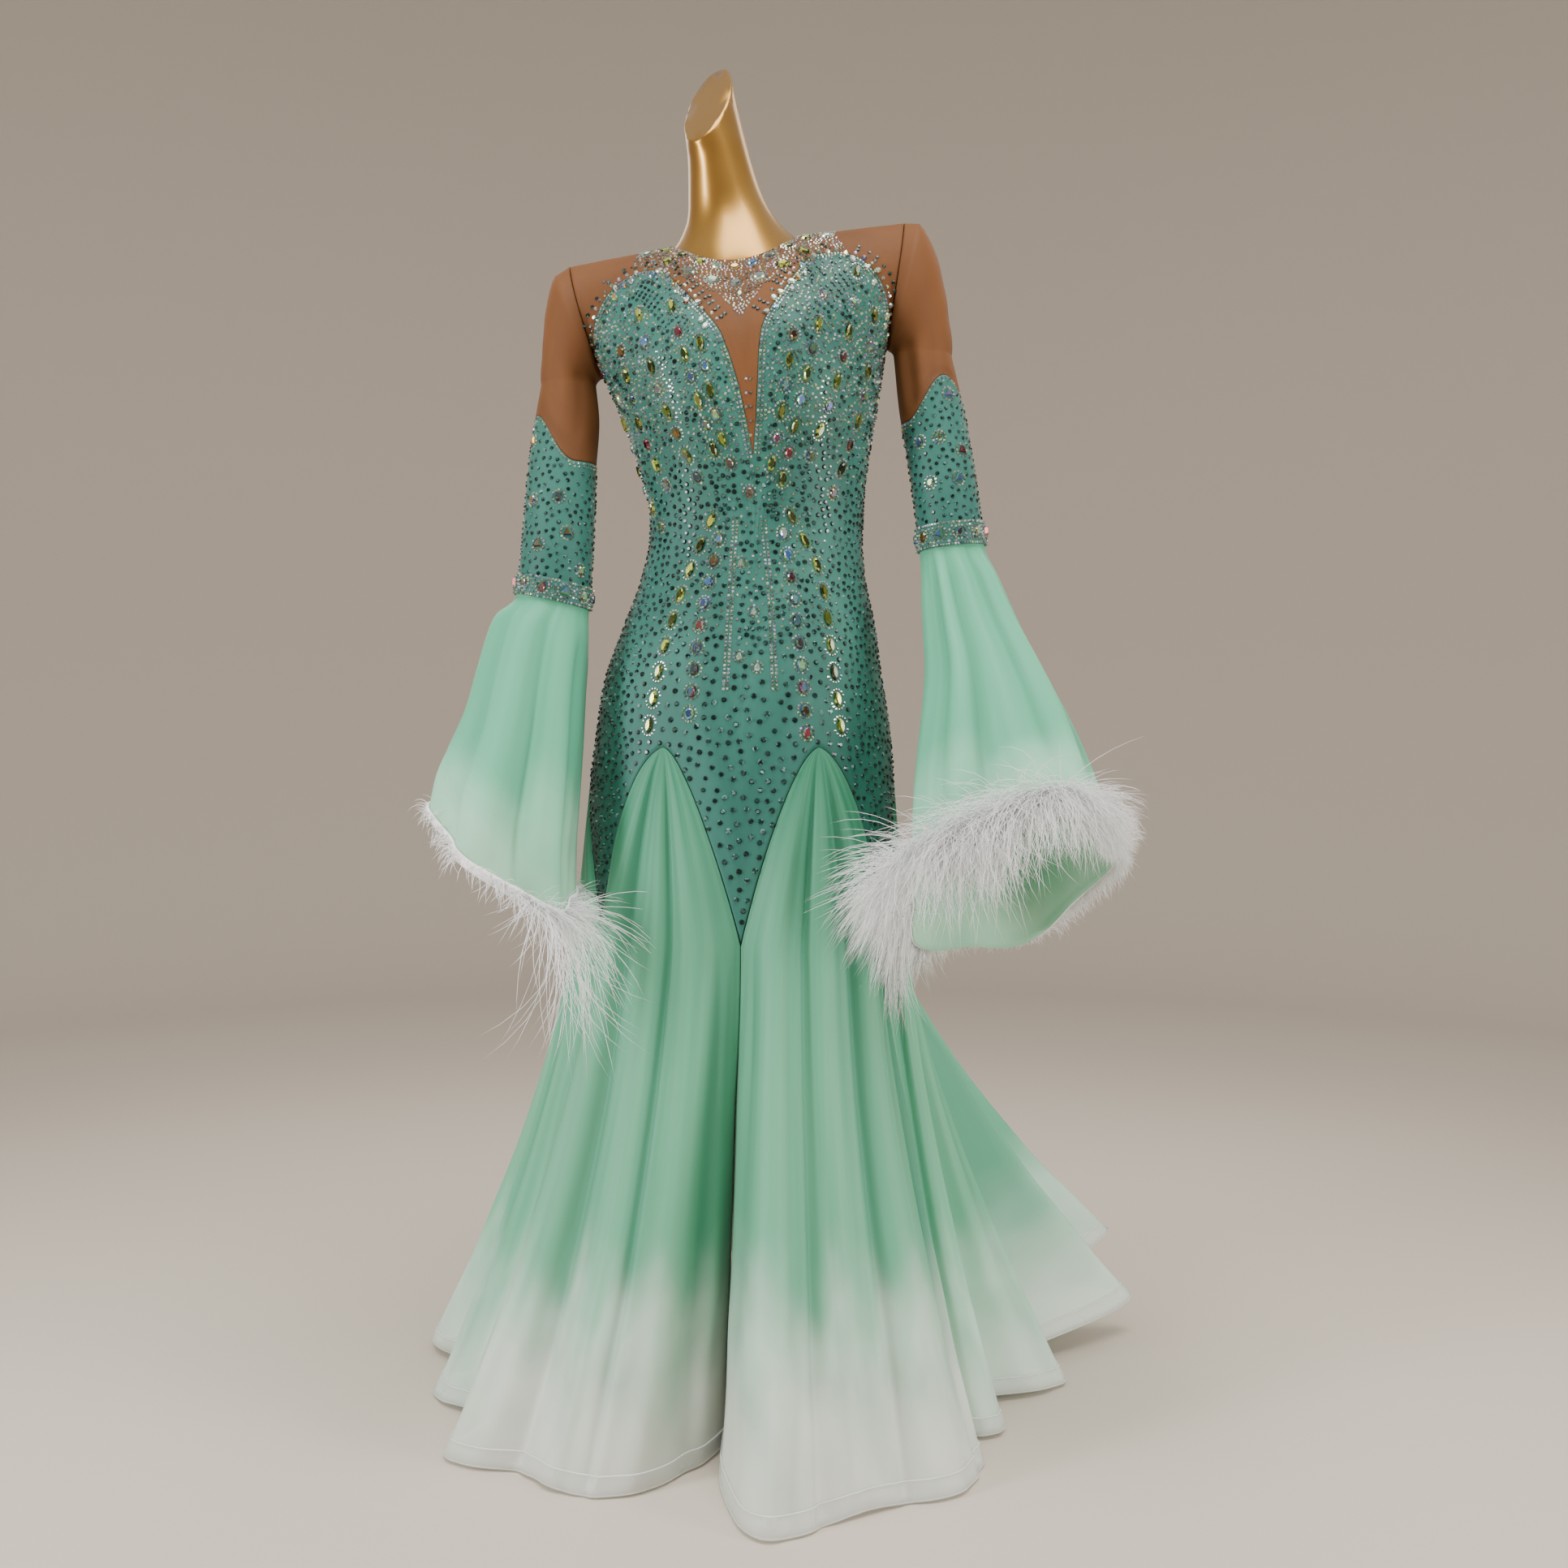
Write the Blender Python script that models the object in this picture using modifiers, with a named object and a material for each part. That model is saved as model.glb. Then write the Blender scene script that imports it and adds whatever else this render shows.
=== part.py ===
"""Ballroom dance dress worn by a limbless dress form on a pole and a round base.

Metres, +Z up, +X to the viewer's right, -Y to the front. The origin is the middle of the base's underside.
Every cloth piece is a thin closed wall, lofted through sections that come from named sizes: the body's
level rings, the sleeves' rings and the skirt's folds. Pieces that meet at a seam read the same surface, so
their walls lean the same way and stay a seam gap apart.
"""
from bisect import bisect_right
from collections import namedtuple
from math import cos, exp, pi, radians, sin, sqrt, tan

import bmesh
import bpy
from mathutils import Vector

# ---------------------------------------------------------------- driving sizes
CREPE_WALL = 0.0015
ORGANZA_WALL = 0.0012
BAND_WALL = 0.0022
BRAID_WALL = 0.0010
SEAM_GAP = 0.0003
LAID_GAP = 0.0005          # between a panel and what is laid on it
ARMHOLE_GAP = 0.0010       # between the armhole's edge and the sleeve's head
SPINE_Y = -0.040           # the body's middle, in front of the base's middle

ARMPIT_Z = 1.2235          # highest full ring round the body
TOP_RISE = 0.130           # level difference from that ring to the shoulder seam
TOP_LEVEL = ARMPIT_Z + TOP_RISE
APEX_Z = 0.780             # where the godets start, at the hips
TIP_Z = 0.565              # where the bodice's points end
SEAM_BOW = 1.7             # how round the godets' tops are
HIP_SIDE = 98.0            # side seam's angle from the front at the hips
ARMPIT_SIDE = 90.0
SEAM_STEPS = (0.0, 0.12, 0.35, 0.68, 1.0)    # along a seam, from a godet's top to a point's tip

FLARE = 1.7                # how late the skirt swings out
LOOSEN = 0.20              # height over which the folds reach the seams below the tips

STAND_RADIUS = 0.130
STAND_THICK = 0.014
POLE_RADIUS = 0.016
FORM_INSET = 0.0045        # form's surface below the cloth's outside, at the waist
CHEST_INSET = 0.0150       # the same at the chest, where the bodice's cups stand off it
FORM_SEAT = 0.0021         # the same on the shoulders, where the cloth rests
FORM_BASE_Z = 0.745



# ---------------------------------------------------------------- tables read as smooth curves
class Table:
    """Rows of named columns in rising order of the first one; at() reads a smooth curve with no overshoot."""

    def __init__(self, columns, rows):
        self.row_type = namedtuple("Row", columns)
        self.rows = rows
        self.keys = [row[0] for row in rows]
        self.slopes = [self.column_slopes(c) for c in range(len(rows[0]))]

    def column_slopes(self, column):
        steps = [(b[column] - a[column]) / (b[0] - a[0]) for a, b in zip(self.rows, self.rows[1:])]
        inner = [0.0 if s * t <= 0.0 else 2.0 * s * t / (s + t) for s, t in zip(steps, steps[1:])]
        return [steps[0]] + inner + [steps[-1]]

    def at(self, key):
        key = min(max(key, self.keys[0]), self.keys[-1])
        k = min(bisect_right(self.keys, key), len(self.keys) - 1) - 1
        width = self.keys[k + 1] - self.keys[k]
        t = (key - self.keys[k]) / width
        values = []
        for c, slope in enumerate(self.slopes):
            a, b = self.rows[k][c], self.rows[k + 1][c]
            rise = a + (b - a) * t * t * (3.0 - 2.0 * t)
            lean = width * (slope[k] * t * (1.0 - t) ** 2 - slope[k + 1] * t * t * (1.0 - t))
            values.append(rise + lean)
        return self.row_type(*values)


BODY = Table("level centre_x half_width front back roll", [
    (0.400, -0.002, 0.170, 0.113, 0.118, 0.0),
    (0.565, -0.002, 0.175, 0.115, 0.122, 0.0),
    (0.687, -0.003, 0.178, 0.118, 0.124, 0.0),
    (0.745, -0.003, 0.176, 0.117, 0.124, 0.0),
    (0.790, -0.002, 0.171, 0.115, 0.122, 0.0),
    (0.846, -0.002, 0.163, 0.110, 0.115, 0.0),
    (0.921, 0.005, 0.145, 0.099, 0.099, 0.5),
    (0.982, 0.010, 0.128, 0.090, 0.088, 1.0),
    (1.023, 0.013, 0.123, 0.087, 0.084, 1.8),
    (1.046, 0.014, 0.123, 0.089, 0.083, 2.2),
    (1.090, 0.012, 0.129, 0.097, 0.086, 3.2),
    (1.159, 0.008, 0.145, 0.109, 0.092, 4.6),
    (1.2235, 0.000, 0.163, 0.110, 0.095, 5.8)])
BUST_ANGLE = 33.0
BUST_SPREAD = 17.0
BUST_Z = 1.180
BUST_TALL = 0.045
BUST_SWELL = 0.014

# neckline ends and shoulder tips, x y z from the spine, and how far the neckline dips at front and back
NECK_LEFT = Vector((-0.0845, SPINE_Y + 0.012, 1.362))
NECK_RIGHT = Vector((0.0645, SPINE_Y + 0.012, 1.375))
SHOULDER_LEFT = Vector((-0.202, SPINE_Y + 0.008, 1.338))
SHOULDER_RIGHT = Vector((0.184, SPINE_Y + 0.008, 1.388))
NeckCurve = namedtuple("NeckCurve", "reach rise")
NECK_FRONT = NeckCurve(-0.067, -0.0405)
NECK_BACK = NeckCurve(0.045, 0.012)
ARMHOLE_SWELL = {"front": -0.062, "back": 0.052}

# front and back panels: angle from the panel's middle at each seam point, godet tops and tips in turn
FRONT_POINTS = ((0.0, "tip"), (30.0, "top"), (65.0, "tip"), (98.0, "top"))
BACK_POINTS = ((0.0, "tip"), (28.0, "top"), (55.0, "tip"), (82.0, "top"))

# level of the seam between bodice and yoke, by the column's place from middle (0) to side (1)
SWEETHEART = Table("place level", [
    (0.0, 1.100), (0.098, 1.245), (0.199, 1.275), (0.306, 1.291), (0.431, 1.301), (0.549, 1.303),
    (0.663, 1.297), (0.771, 1.281), (0.882, 1.258), (0.959, 1.238), (1.0, 1.226)])
BACK_SCOOP = Table("place level", [
    (0.0, 1.120), (0.12, 1.160), (0.30, 1.225), (0.60, 1.270), (1.0, 1.286)])

# the hem's folds, once round from the front to the viewer's right: ridges and valleys, in degrees and metres
HEM_FOLDS = [
    (-11.0, 0.105, 0.004), (-2.0, 0.262, 0.001), (6.0, 0.318, 0.001), (27.0, 0.287, 0.002),
    (48.0, 0.315, 0.001), (60.0, 0.305, 0.002), (66.0, 0.265, 0.006), (78.0, 0.302, 0.002),
    (89.0, 0.262, 0.010), (100.0, 0.395, 0.003), (108.0, 0.340, 0.015), (115.0, 0.560, 0.050),
    (120.0, 0.470, 0.070), (126.0, 0.620, 0.100), (140.0, 0.420, 0.030), (154.0, 0.560, 0.020),
    (167.0, 0.390, 0.020), (182.0, 0.530, 0.015), (196.0, 0.380, 0.015), (210.0, 0.510, 0.010),
    (224.0, 0.360, 0.015), (243.0, 0.456, 0.004), (254.0, 0.360, 0.010), (265.0, 0.378, 0.003),
    (278.0, 0.300, 0.008), (291.0, 0.352, 0.001), (308.0, 0.290, 0.002), (324.0, 0.278, 0.001),
    (343.0, 0.168, 0.002), (349.0, 0.105, 0.004)]
HEM = Table("angle radius lift", HEM_FOLDS)

Godet = namedtuple("Godet", "name left_tip top right_tip left_hem right_hem")
GODETS = [
    Godet("godet_front_right", 0.0, 30.0, 65.0, -11.0, 66.0),
    Godet("godet_side_right", 65.0, 98.0, 125.0, 66.0, 108.0),
    Godet("godet_back_right", 125.0, 152.0, 180.0, 108.0, 167.0),
    Godet("godet_back_left", 180.0, 208.0, 235.0, 167.0, 224.0),
    Godet("godet_side_left", 235.0, 262.0, 295.0, 224.0, 278.0),
    Godet("godet_front_left", 295.0, 330.0, 360.0, 278.0, 349.0)]
SKIRT_LEVELS = (0.17, 0.36, 0.56, 0.77, 0.962, 1.0)    # from the tips down to the hem

# sleeves: the head turns about the armpit, then rings go down the arm to the cuff
ARMPIT_TURN = 0.008        # radius of the turn under the arm
HEAD = {
    "left": Table("turn reach half_depth", [
        (24.0, 0.136, 0.047), (36.0, 0.110, 0.045), (52.0, 0.087, 0.042), (70.0, 0.075, 0.039),
        (90.0, 0.071, 0.037)]),
    "right": Table("turn reach half_depth", [
        (14.0, 0.157, 0.047), (24.0, 0.134, 0.047), (40.0, 0.103, 0.043), (64.0, 0.081, 0.039),
        (90.0, 0.075, 0.0375)])}
ARMPIT = {"left": Vector((-0.165, SPINE_Y, 1.199)), "right": Vector((0.165, SPINE_Y, 1.232))}
ARM_COLUMNS = "level x y half_x half_y slope_x slope_y"
ARM = {
    "left": Table(ARM_COLUMNS, [
        (0.957, -0.218, SPINE_Y - 0.034, 0.0410, 0.0410, -0.22, 0.0),
        (0.980, -0.216, SPINE_Y - 0.030, 0.0405, 0.0405, -0.20, 0.0),
        (1.046, -0.213, SPINE_Y - 0.018, 0.0400, 0.0400, -0.05, 0.0),
        (1.100, -0.211, SPINE_Y - 0.009, 0.0390, 0.0390, 0.0, 0.0),
        (1.156, -0.206, SPINE_Y - 0.003, 0.0370, 0.0375, 0.0, 0.0),
        (1.199, -0.2045, SPINE_Y, 0.0315, 0.0370, 0.0, 0.0)]),
    "right": Table(ARM_COLUMNS, [
        (1.020, 0.237, SPINE_Y - 0.030, 0.0366, 0.0370, 0.10, 0.0),
        (1.036, 0.235, SPINE_Y - 0.027, 0.0366, 0.0370, 0.10, 0.0),
        (1.100, 0.227, SPINE_Y - 0.016, 0.0370, 0.0370, 0.05, 0.0),
        (1.158, 0.218, SPINE_Y - 0.007, 0.0375, 0.0375, 0.0, 0.0),
        (1.232, 0.2065, SPINE_Y, 0.0335, 0.0375, 0.0, 0.0)])}
Cuff = namedtuple("Cuff", "level half_height")
CUFF = {"left": Cuff(0.957, 0.012), "right": Cuff(1.020, 0.0135)}
# top edge of the teal lower sleeve: its level, and its peak's height and direction round the arm
LowerEdge = namedtuple("LowerEdge", "level peak peak_angle")
LOWER_EDGE = {"left": LowerEdge(1.105, 0.055, 30.0), "right": LowerEdge(1.152, 0.052, 60.0)}

BELL_COLUMNS = ARM_COLUMNS + " wave"
BELL = {
    "left": Table(BELL_COLUMNS, [
        (0.650, -0.266, SPINE_Y - 0.088, 0.0770, 0.0760, -0.72, 0.25, 0.09),
        (0.700, -0.264, SPINE_Y - 0.080, 0.0740, 0.0730, -0.60, 0.18, 0.06),
        (0.750, -0.256, SPINE_Y - 0.071, 0.0690, 0.0680, -0.48, 0.12, 0.04),
        (0.800, -0.247, SPINE_Y - 0.062, 0.0630, 0.0620, -0.36, 0.06, 0.02),
        (0.855, -0.240, SPINE_Y - 0.052, 0.0580, 0.0560, -0.30, 0.0, 0.0),
        (0.915, -0.230, SPINE_Y - 0.041, 0.0520, 0.0500, -0.25, 0.0, 0.0),
        (0.943, -0.219, SPINE_Y - 0.036, 0.0412, 0.0412, -0.22, 0.0, 0.0),
        (0.957, -0.218, SPINE_Y - 0.034, 0.0410, 0.0410, -0.22, 0.0, 0.0)]),
    "right": Table(BELL_COLUMNS, [
        (0.630, 0.296, SPINE_Y - 0.092, 0.1120, 0.1030, 0.25, -0.85, 0.08),
        (0.680, 0.292, SPINE_Y - 0.087, 0.1060, 0.0960, 0.22, -0.76, 0.06),
        (0.740, 0.286, SPINE_Y - 0.079, 0.0960, 0.0870, 0.20, -0.63, 0.04),
        (0.800, 0.280, SPINE_Y - 0.071, 0.0820, 0.0750, 0.15, -0.48, 0.02),
        (0.860, 0.271, SPINE_Y - 0.061, 0.0650, 0.0620, 0.12, -0.33, 0.0),
        (0.920, 0.257, SPINE_Y - 0.049, 0.0520, 0.0500, 0.10, -0.18, 0.0),
        (0.970, 0.246, SPINE_Y - 0.039, 0.0430, 0.0420, 0.10, -0.06, 0.0),
        (1.004, 0.238, SPINE_Y - 0.032, 0.0370, 0.0372, 0.10, 0.0, 0.0),
        (1.020, 0.237, SPINE_Y - 0.030, 0.0366, 0.0370, 0.10, 0.0, 0.0)])}
BELL_LEVELS = {
    "left": (0.9567, 0.945, 0.915, 0.855, 0.780, 0.715, 0.661, 0.650),
    "right": (1.0197, 1.0065, 0.960, 0.900, 0.830, 0.760, 0.690, 0.642, 0.630)}
BELL_WAVES = 5
ARM_SEGMENTS = 16
BELL_SEGMENTS = {"left": 32, "right": 40}

# feather strands: length at the shortest and longest, how they hang out and forward
Feather = namedtuple("Feather", "short long flare forward tail tail_angle")
FEATHER = {
    "left": Feather(0.050, 0.085, 0.55, 0.30, 0.120, 140.0),
    "right": Feather(0.070, 0.110, 0.50, 0.35, 0.030, 150.0)}


# ---------------------------------------------------------------- small helpers
def lerp(a, b, t):
    return a + (b - a) * t


def smooth(t):
    t = min(max(t, 0.0), 1.0)
    return t * t * (3.0 - 2.0 * t)


def bell_curve(value):
    return exp(-0.5 * value * value)


def side_sign(side):
    return -1.0 if side == "left" else 1.0


# ---------------------------------------------------------------- body surface
def body_ring(angle, level):
    """A point of the body's level ring; the angle runs from the front to the viewer's right."""
    row = BODY.at(level)
    depth = row.front if cos(radians(angle)) > 0.0 else row.back
    from_bust = abs((angle + 180.0) % 360.0 - 180.0) - BUST_ANGLE
    swell = BUST_SWELL * bell_curve(from_bust / BUST_SPREAD) * bell_curve((level - BUST_Z) / BUST_TALL)
    x = row.half_width * sin(radians(angle))
    y = -(depth + swell) * cos(radians(angle))
    return Vector((row.centre_x + x, SPINE_Y + y, level + x * tan(radians(row.roll))))


def godet_at(angle):
    for godet in GODETS:
        if godet.left_tip <= angle <= godet.right_tip:
            return godet
    return GODETS[-1]


def seam_share(level):
    """How far down the seam from a godet's top (0) to the points' tips (1) a level lies."""
    return min(max((APEX_Z - level) / (APEX_Z - TIP_Z), 0.0) ** (1.0 / SEAM_BOW), 1.0)


def skirt_point(angle, level):
    """The skirt's outside: the hip ring swings out to the hem's folds inside each godet."""
    angle = angle % 360.0
    on_body = body_ring(angle, level)
    godet = godet_at(angle)
    share = seam_share(level)
    left = lerp(godet.top, godet.left_tip, share)
    right = lerp(godet.top, godet.right_tip, share)
    if level >= APEX_Z or angle < left or angle > right:
        return on_body
    across = 2.0 * (angle - left) / (right - left) - 1.0
    hem = HEM.at(lerp(godet.left_hem, godet.right_hem, 0.5 * (across + 1.0)))
    fall = min((APEX_Z - level) / (APEX_Z - hem.lift), 1.0)
    held = smooth((level - TIP_Z + LOOSEN) / LOOSEN)
    swing = fall ** FLARE * (1.0 - held * across ** 6)
    out = radians(hem.angle)
    at_hem = Vector((hem.radius * sin(out), SPINE_Y - hem.radius * cos(out), level))
    return on_body.lerp(at_hem, swing)


def neck_edge(place, curve):
    """Neckline point; the place runs from -1 at the viewer's left to 1 at the right."""
    point = NECK_LEFT.lerp(NECK_RIGHT, 0.5 * (place + 1.0))
    point.y += curve.reach * (1.0 - abs(place) ** 2.5)
    point.z += curve.rise * (1.0 - place * place)
    return point


NECK_PLACE = 0.431         # column that carries the neckline's ends


def top_edge(place, face):
    """Neckline in the middle, shoulder seam beside it."""
    if abs(place) <= NECK_PLACE:
        return neck_edge(place / NECK_PLACE, NECK_FRONT if face == "front" else NECK_BACK)
    neck, shoulder = (NECK_LEFT, SHOULDER_LEFT) if place < 0.0 else (NECK_RIGHT, SHOULDER_RIGHT)
    return neck.lerp(shoulder, (abs(place) - NECK_PLACE) / (1.0 - NECK_PLACE))


def face_angle(place, level, face):
    share = min(max((level - APEX_Z) / (ARMPIT_Z - APEX_Z), 0.0), 1.0)
    side = lerp(HIP_SIDE, ARMPIT_SIDE, share)
    return place * side if face == "front" else 180.0 - place * (180.0 - side)


def body_point(place, level, face):
    """Outside of the bodice and yoke; place -1 to 1 across a face, level up to the shoulder seam."""
    if level <= APEX_Z:
        return skirt_point(face_angle(place, level, face), level)
    if level <= ARMPIT_Z:
        return body_ring(face_angle(place, level, face), level)
    t = (level - ARMPIT_Z) / TOP_RISE
    start = body_ring(face_angle(place, ARMPIT_Z, face), ARMPIT_Z)
    below = body_ring(face_angle(place, ARMPIT_Z, face), ARMPIT_Z - 0.004)
    end = top_edge(place, face)
    forward = -1.0 if face == "front" else 1.0
    rise = (start - below) / 0.004 * ((end.z - start.z) / 3.0)
    first = start + rise + Vector((0.0, ARMHOLE_SWELL[face] * abs(place) ** 5, 0.0))
    over = smooth(abs(place) / NECK_PLACE)
    last = end + Vector((0.0, forward * lerp(0.016, 0.050, over), lerp(-0.030, -0.006, over)))
    return (start * (1 - t) ** 3 + first * 3 * t * (1 - t) ** 2 + last * 3 * t * t * (1 - t) + end * t ** 3)


def surface_normal(surface, u, v, step_u, step_v, u_range, v_range):
    """Normal of a surface function by small differences kept inside its range."""
    u0, u1 = max(u - step_u, u_range[0]), min(u + step_u, u_range[1])
    v0, v1 = max(v - step_v, v_range[0]), min(v + step_v, v_range[1])
    across = surface(u1, v) - surface(u0, v)
    up = surface(u, v1) - surface(u, v0)
    return across.cross(up).normalized()


def face_normal(place, level, face):
    turned = 1.0 if face == "front" else -1.0
    return turned * surface_normal(lambda u, v: body_point(u, v, face), place, level, 0.01, 0.002,
                                   (-1.0, 1.0), (0.0, TOP_LEVEL))


def body_normal(place, level, face):
    """Shared by front and back where they meet, at the side seams and on the shoulders."""
    normal = face_normal(place, level, face)
    at_side = abs(place) > 0.999 and level <= ARMPIT_Z + 0.001
    at_top = level > TOP_LEVEL - 0.001 and abs(place) >= NECK_PLACE - 0.001
    if at_side or at_top:
        other = "back" if face == "front" else "front"
        normal = (normal + face_normal(place, level, other)).normalized()
    return normal


def skirt_normal(angle, level):
    return surface_normal(skirt_point, angle, level, 0.35, 0.002, (-10.0, 370.0), (0.0, APEX_Z + 0.1))


# ---------------------------------------------------------------- walls
Spot = namedtuple("Spot", "point normal")


def body_spot(place, level, face):
    return Spot(body_point(place, level, face), body_normal(place, level, face))


def moved_out(rows, distance):
    return [[Spot(spot.point + spot.normal * distance, spot.normal) for spot in row] for row in rows]


def material(name, colour, roughness, metallic=0.0):
    made = bpy.data.materials.new(name)
    made.use_nodes = True
    shader = made.node_tree.nodes["Principled BSDF"]
    shader.inputs["Base Color"].default_value = (*colour, 1.0)
    shader.inputs["Roughness"].default_value = roughness
    shader.inputs["Metallic"].default_value = metallic
    made.diffuse_color = (*colour, 1.0)
    return made


def add_object(name, mesh, finish):
    bmesh.ops.recalc_face_normals(mesh, faces=mesh.faces)
    data = bpy.data.meshes.new(name)
    mesh.to_mesh(data)
    mesh.free()
    data.shade_smooth()
    data.set_sharp_from_angle(angle=radians(50.0))
    data.materials.append(finish)
    made = bpy.data.objects.new(name, data)
    DRESS.objects.link(made)
    return made


def lofted_wall(rows, thickness, round_about=False):
    """Closed wall between rows of spots and the same points moved in; rows may come round on themselves."""
    mesh = bmesh.new()
    outside = [[mesh.verts.new(spot.point) for spot in row] for row in rows]
    inside = [[mesh.verts.new(spot.point - spot.normal * thickness) for spot in row] for row in rows]
    columns = len(rows[0])
    steps = range(columns if round_about else columns - 1)
    for k in range(len(rows) - 1):
        for j in steps:
            n = (j + 1) % columns
            for side, flip in ((outside, False), (inside, True)):
                a, b, c, d = side[k][j], side[k][n], side[k + 1][n], side[k + 1][j]
                for corners in ((a, b, c), (a, c, d)):
                    mesh.faces.new(corners[::-1] if flip else corners)
    for j in steps:
        n = (j + 1) % columns
        mesh.faces.new((outside[0][n], outside[0][j], inside[0][j], inside[0][n]))
        mesh.faces.new((outside[-1][j], outside[-1][n], inside[-1][n], inside[-1][j]))
    if not round_about:
        for k in range(len(rows) - 1):
            mesh.faces.new((outside[k][0], outside[k + 1][0], inside[k + 1][0], inside[k][0]))
            mesh.faces.new((outside[k + 1][-1], outside[k][-1], inside[k][-1], inside[k + 1][-1]))
    return mesh


# ---------------------------------------------------------------- bodice and yokes
Column = namedtuple("Column", "place bottom")


def panel_columns(points):
    """Columns across a panel, and the level of the panel's lower edge at each."""
    widest = points[-1][0]
    half = []
    for (angle_a, kind_a), (angle_b, _) in zip(points, points[1:]):
        steps = SEAM_STEPS[::-1] if kind_a == "tip" else SEAM_STEPS
        top, tip = (angle_b, angle_a) if kind_a == "tip" else (angle_a, angle_b)
        for share in steps:
            place = lerp(top, tip, share) / widest
            half.append(Column(place, APEX_Z - (APEX_Z - TIP_Z) * share ** SEAM_BOW))
    half = [c for k, c in enumerate(half) if k == 0 or c.place > half[k - 1].place + 0.001]
    return [Column(-c.place, c.bottom) for c in half[:0:-1]] + half


def seam_lift(columns, edge, k):
    """Height that parts two panels by a seam gap at column k of a slanted seam."""
    steepest = 0.0
    for j in (k, k + 1):
        if 0 < j < len(columns):
            a, b = columns[j - 1].place, columns[j].place
            run = abs(body_point(a, ARMPIT_Z, "front").x - body_point(b, ARMPIT_Z, "front").x)
            rise = edge.at(abs(b)).level - edge.at(abs(a)).level
            steepest = max(steepest, abs(rise / run))
    return SEAM_GAP * sqrt(1.0 + steepest * steepest)


def bodice_rows(face, columns, edge):
    """Rows of spots: level round the waist, following the points below it and the neck seam above it."""
    rows = [[body_spot(c.place, lerp(c.bottom, WAIST_LEVELS[0], share), face) for c in columns]
            for share in POINT_SHARES]
    rows += [[body_spot(c.place, level, face) for c in columns] for level in WAIST_LEVELS]
    for share in CHEST_SHARES:
        rows.append([body_spot(c.place, lerp(WAIST_LEVELS[-1], edge.at(abs(c.place)).level, share), face)
                     for c in columns])
    return rows


def yoke_rows(face, columns, edge, count):
    rows = []
    for r in range(count + 1):
        row = []
        for k, column in enumerate(columns):
            start = edge.at(abs(column.place)).level + seam_lift(columns, edge, k)
            row.append(body_spot(column.place, lerp(start, TOP_LEVEL, r / count), face))
        rows.append(row)
    return rows


def part_front_and_back(rows, face, is_yoke):
    """Move the panel's side edges, and a yoke's shoulder edges, away from the other face by half a gap."""
    shift = Vector((0.0, 0.5 * SEAM_GAP * (-1.0 if face == "front" else 1.0), 0.0)) * 1.4
    parted = []
    for r, row in enumerate(rows):
        new_row = []
        for j, spot in enumerate(row):
            at_side = j in (0, len(row) - 1)
            at_top = is_yoke and r == len(rows) - 1
            new_row.append(Spot(spot.point + shift, spot.normal) if at_side or at_top else spot)
        parted.append(new_row)
    return parted


POINT_SHARES = (0.0, 0.5)
WAIST_LEVELS = (0.805, 0.865, 0.925, 0.980, 1.030, 1.080)
CHEST_SHARES = (0.17, 0.34, 0.50, 0.66, 0.82, 1.0)
YOKE_ROWS = 6


def make_panels():
    for face, points, edge in (("front", FRONT_POINTS, SWEETHEART), ("back", BACK_POINTS, BACK_SCOOP)):
        columns = panel_columns(points)
        bodice = part_front_and_back(bodice_rows(face, columns, edge), face, False)
        add_object("bodice_" + face, lofted_wall(bodice, CREPE_WALL), TEAL)
        yoke = part_front_and_back(yoke_rows(face, columns, edge, YOKE_ROWS), face, True)
        add_object("yoke_" + face, lofted_wall(yoke, CREPE_WALL), NET)
    make_zip(bodice, yoke)


ZIP_FIRST_ROW = 3          # bodice row where the zip ends, at the hips
ZIP_TOP_SHARE = 0.90       # how far up the yoke's last row it reaches
ZIP_HALF_WIDTH = 0.004


def make_zip(bodice, yoke):
    """Closed zip down the centre back, laid on the middle points of the bodice's and yoke's rows."""
    middle = len(bodice[0]) // 2
    spots = [row[middle] for row in bodice[ZIP_FIRST_ROW:-1] + yoke[:-1]]
    last = yoke[-2][middle]
    spots.append(Spot(last.point.lerp(yoke[-1][middle].point, ZIP_TOP_SHARE), last.normal))
    rows = []
    for spot in spots:
        point = spot.point + spot.normal * (CREPE_WALL + LAID_GAP)
        rows.append([Spot(point + Vector((x, 0.0, 0.0)), spot.normal)
                     for x in (ZIP_HALF_WIDTH, -ZIP_HALF_WIDTH)])
    add_object("back_zip", lofted_wall(rows, CREPE_WALL), ZIP)


# ---------------------------------------------------------------- skirt
FOLD_PARTS = 3             # columns from a ridge to the next valley


def godet_columns(godet):
    """Places across a godet, -1 to 1, denser where the hem turns."""
    angles = [row[0] for row in HEM_FOLDS if godet.left_hem <= row[0] <= godet.right_hem]
    spread = [lerp(a, b, k / FOLD_PARTS) for a, b in zip(angles, angles[1:]) for k in range(FOLD_PARTS)]
    spread.append(angles[-1])
    return [2.0 * (a - godet.left_hem) / (godet.right_hem - godet.left_hem) - 1.0 for a in spread]


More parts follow.
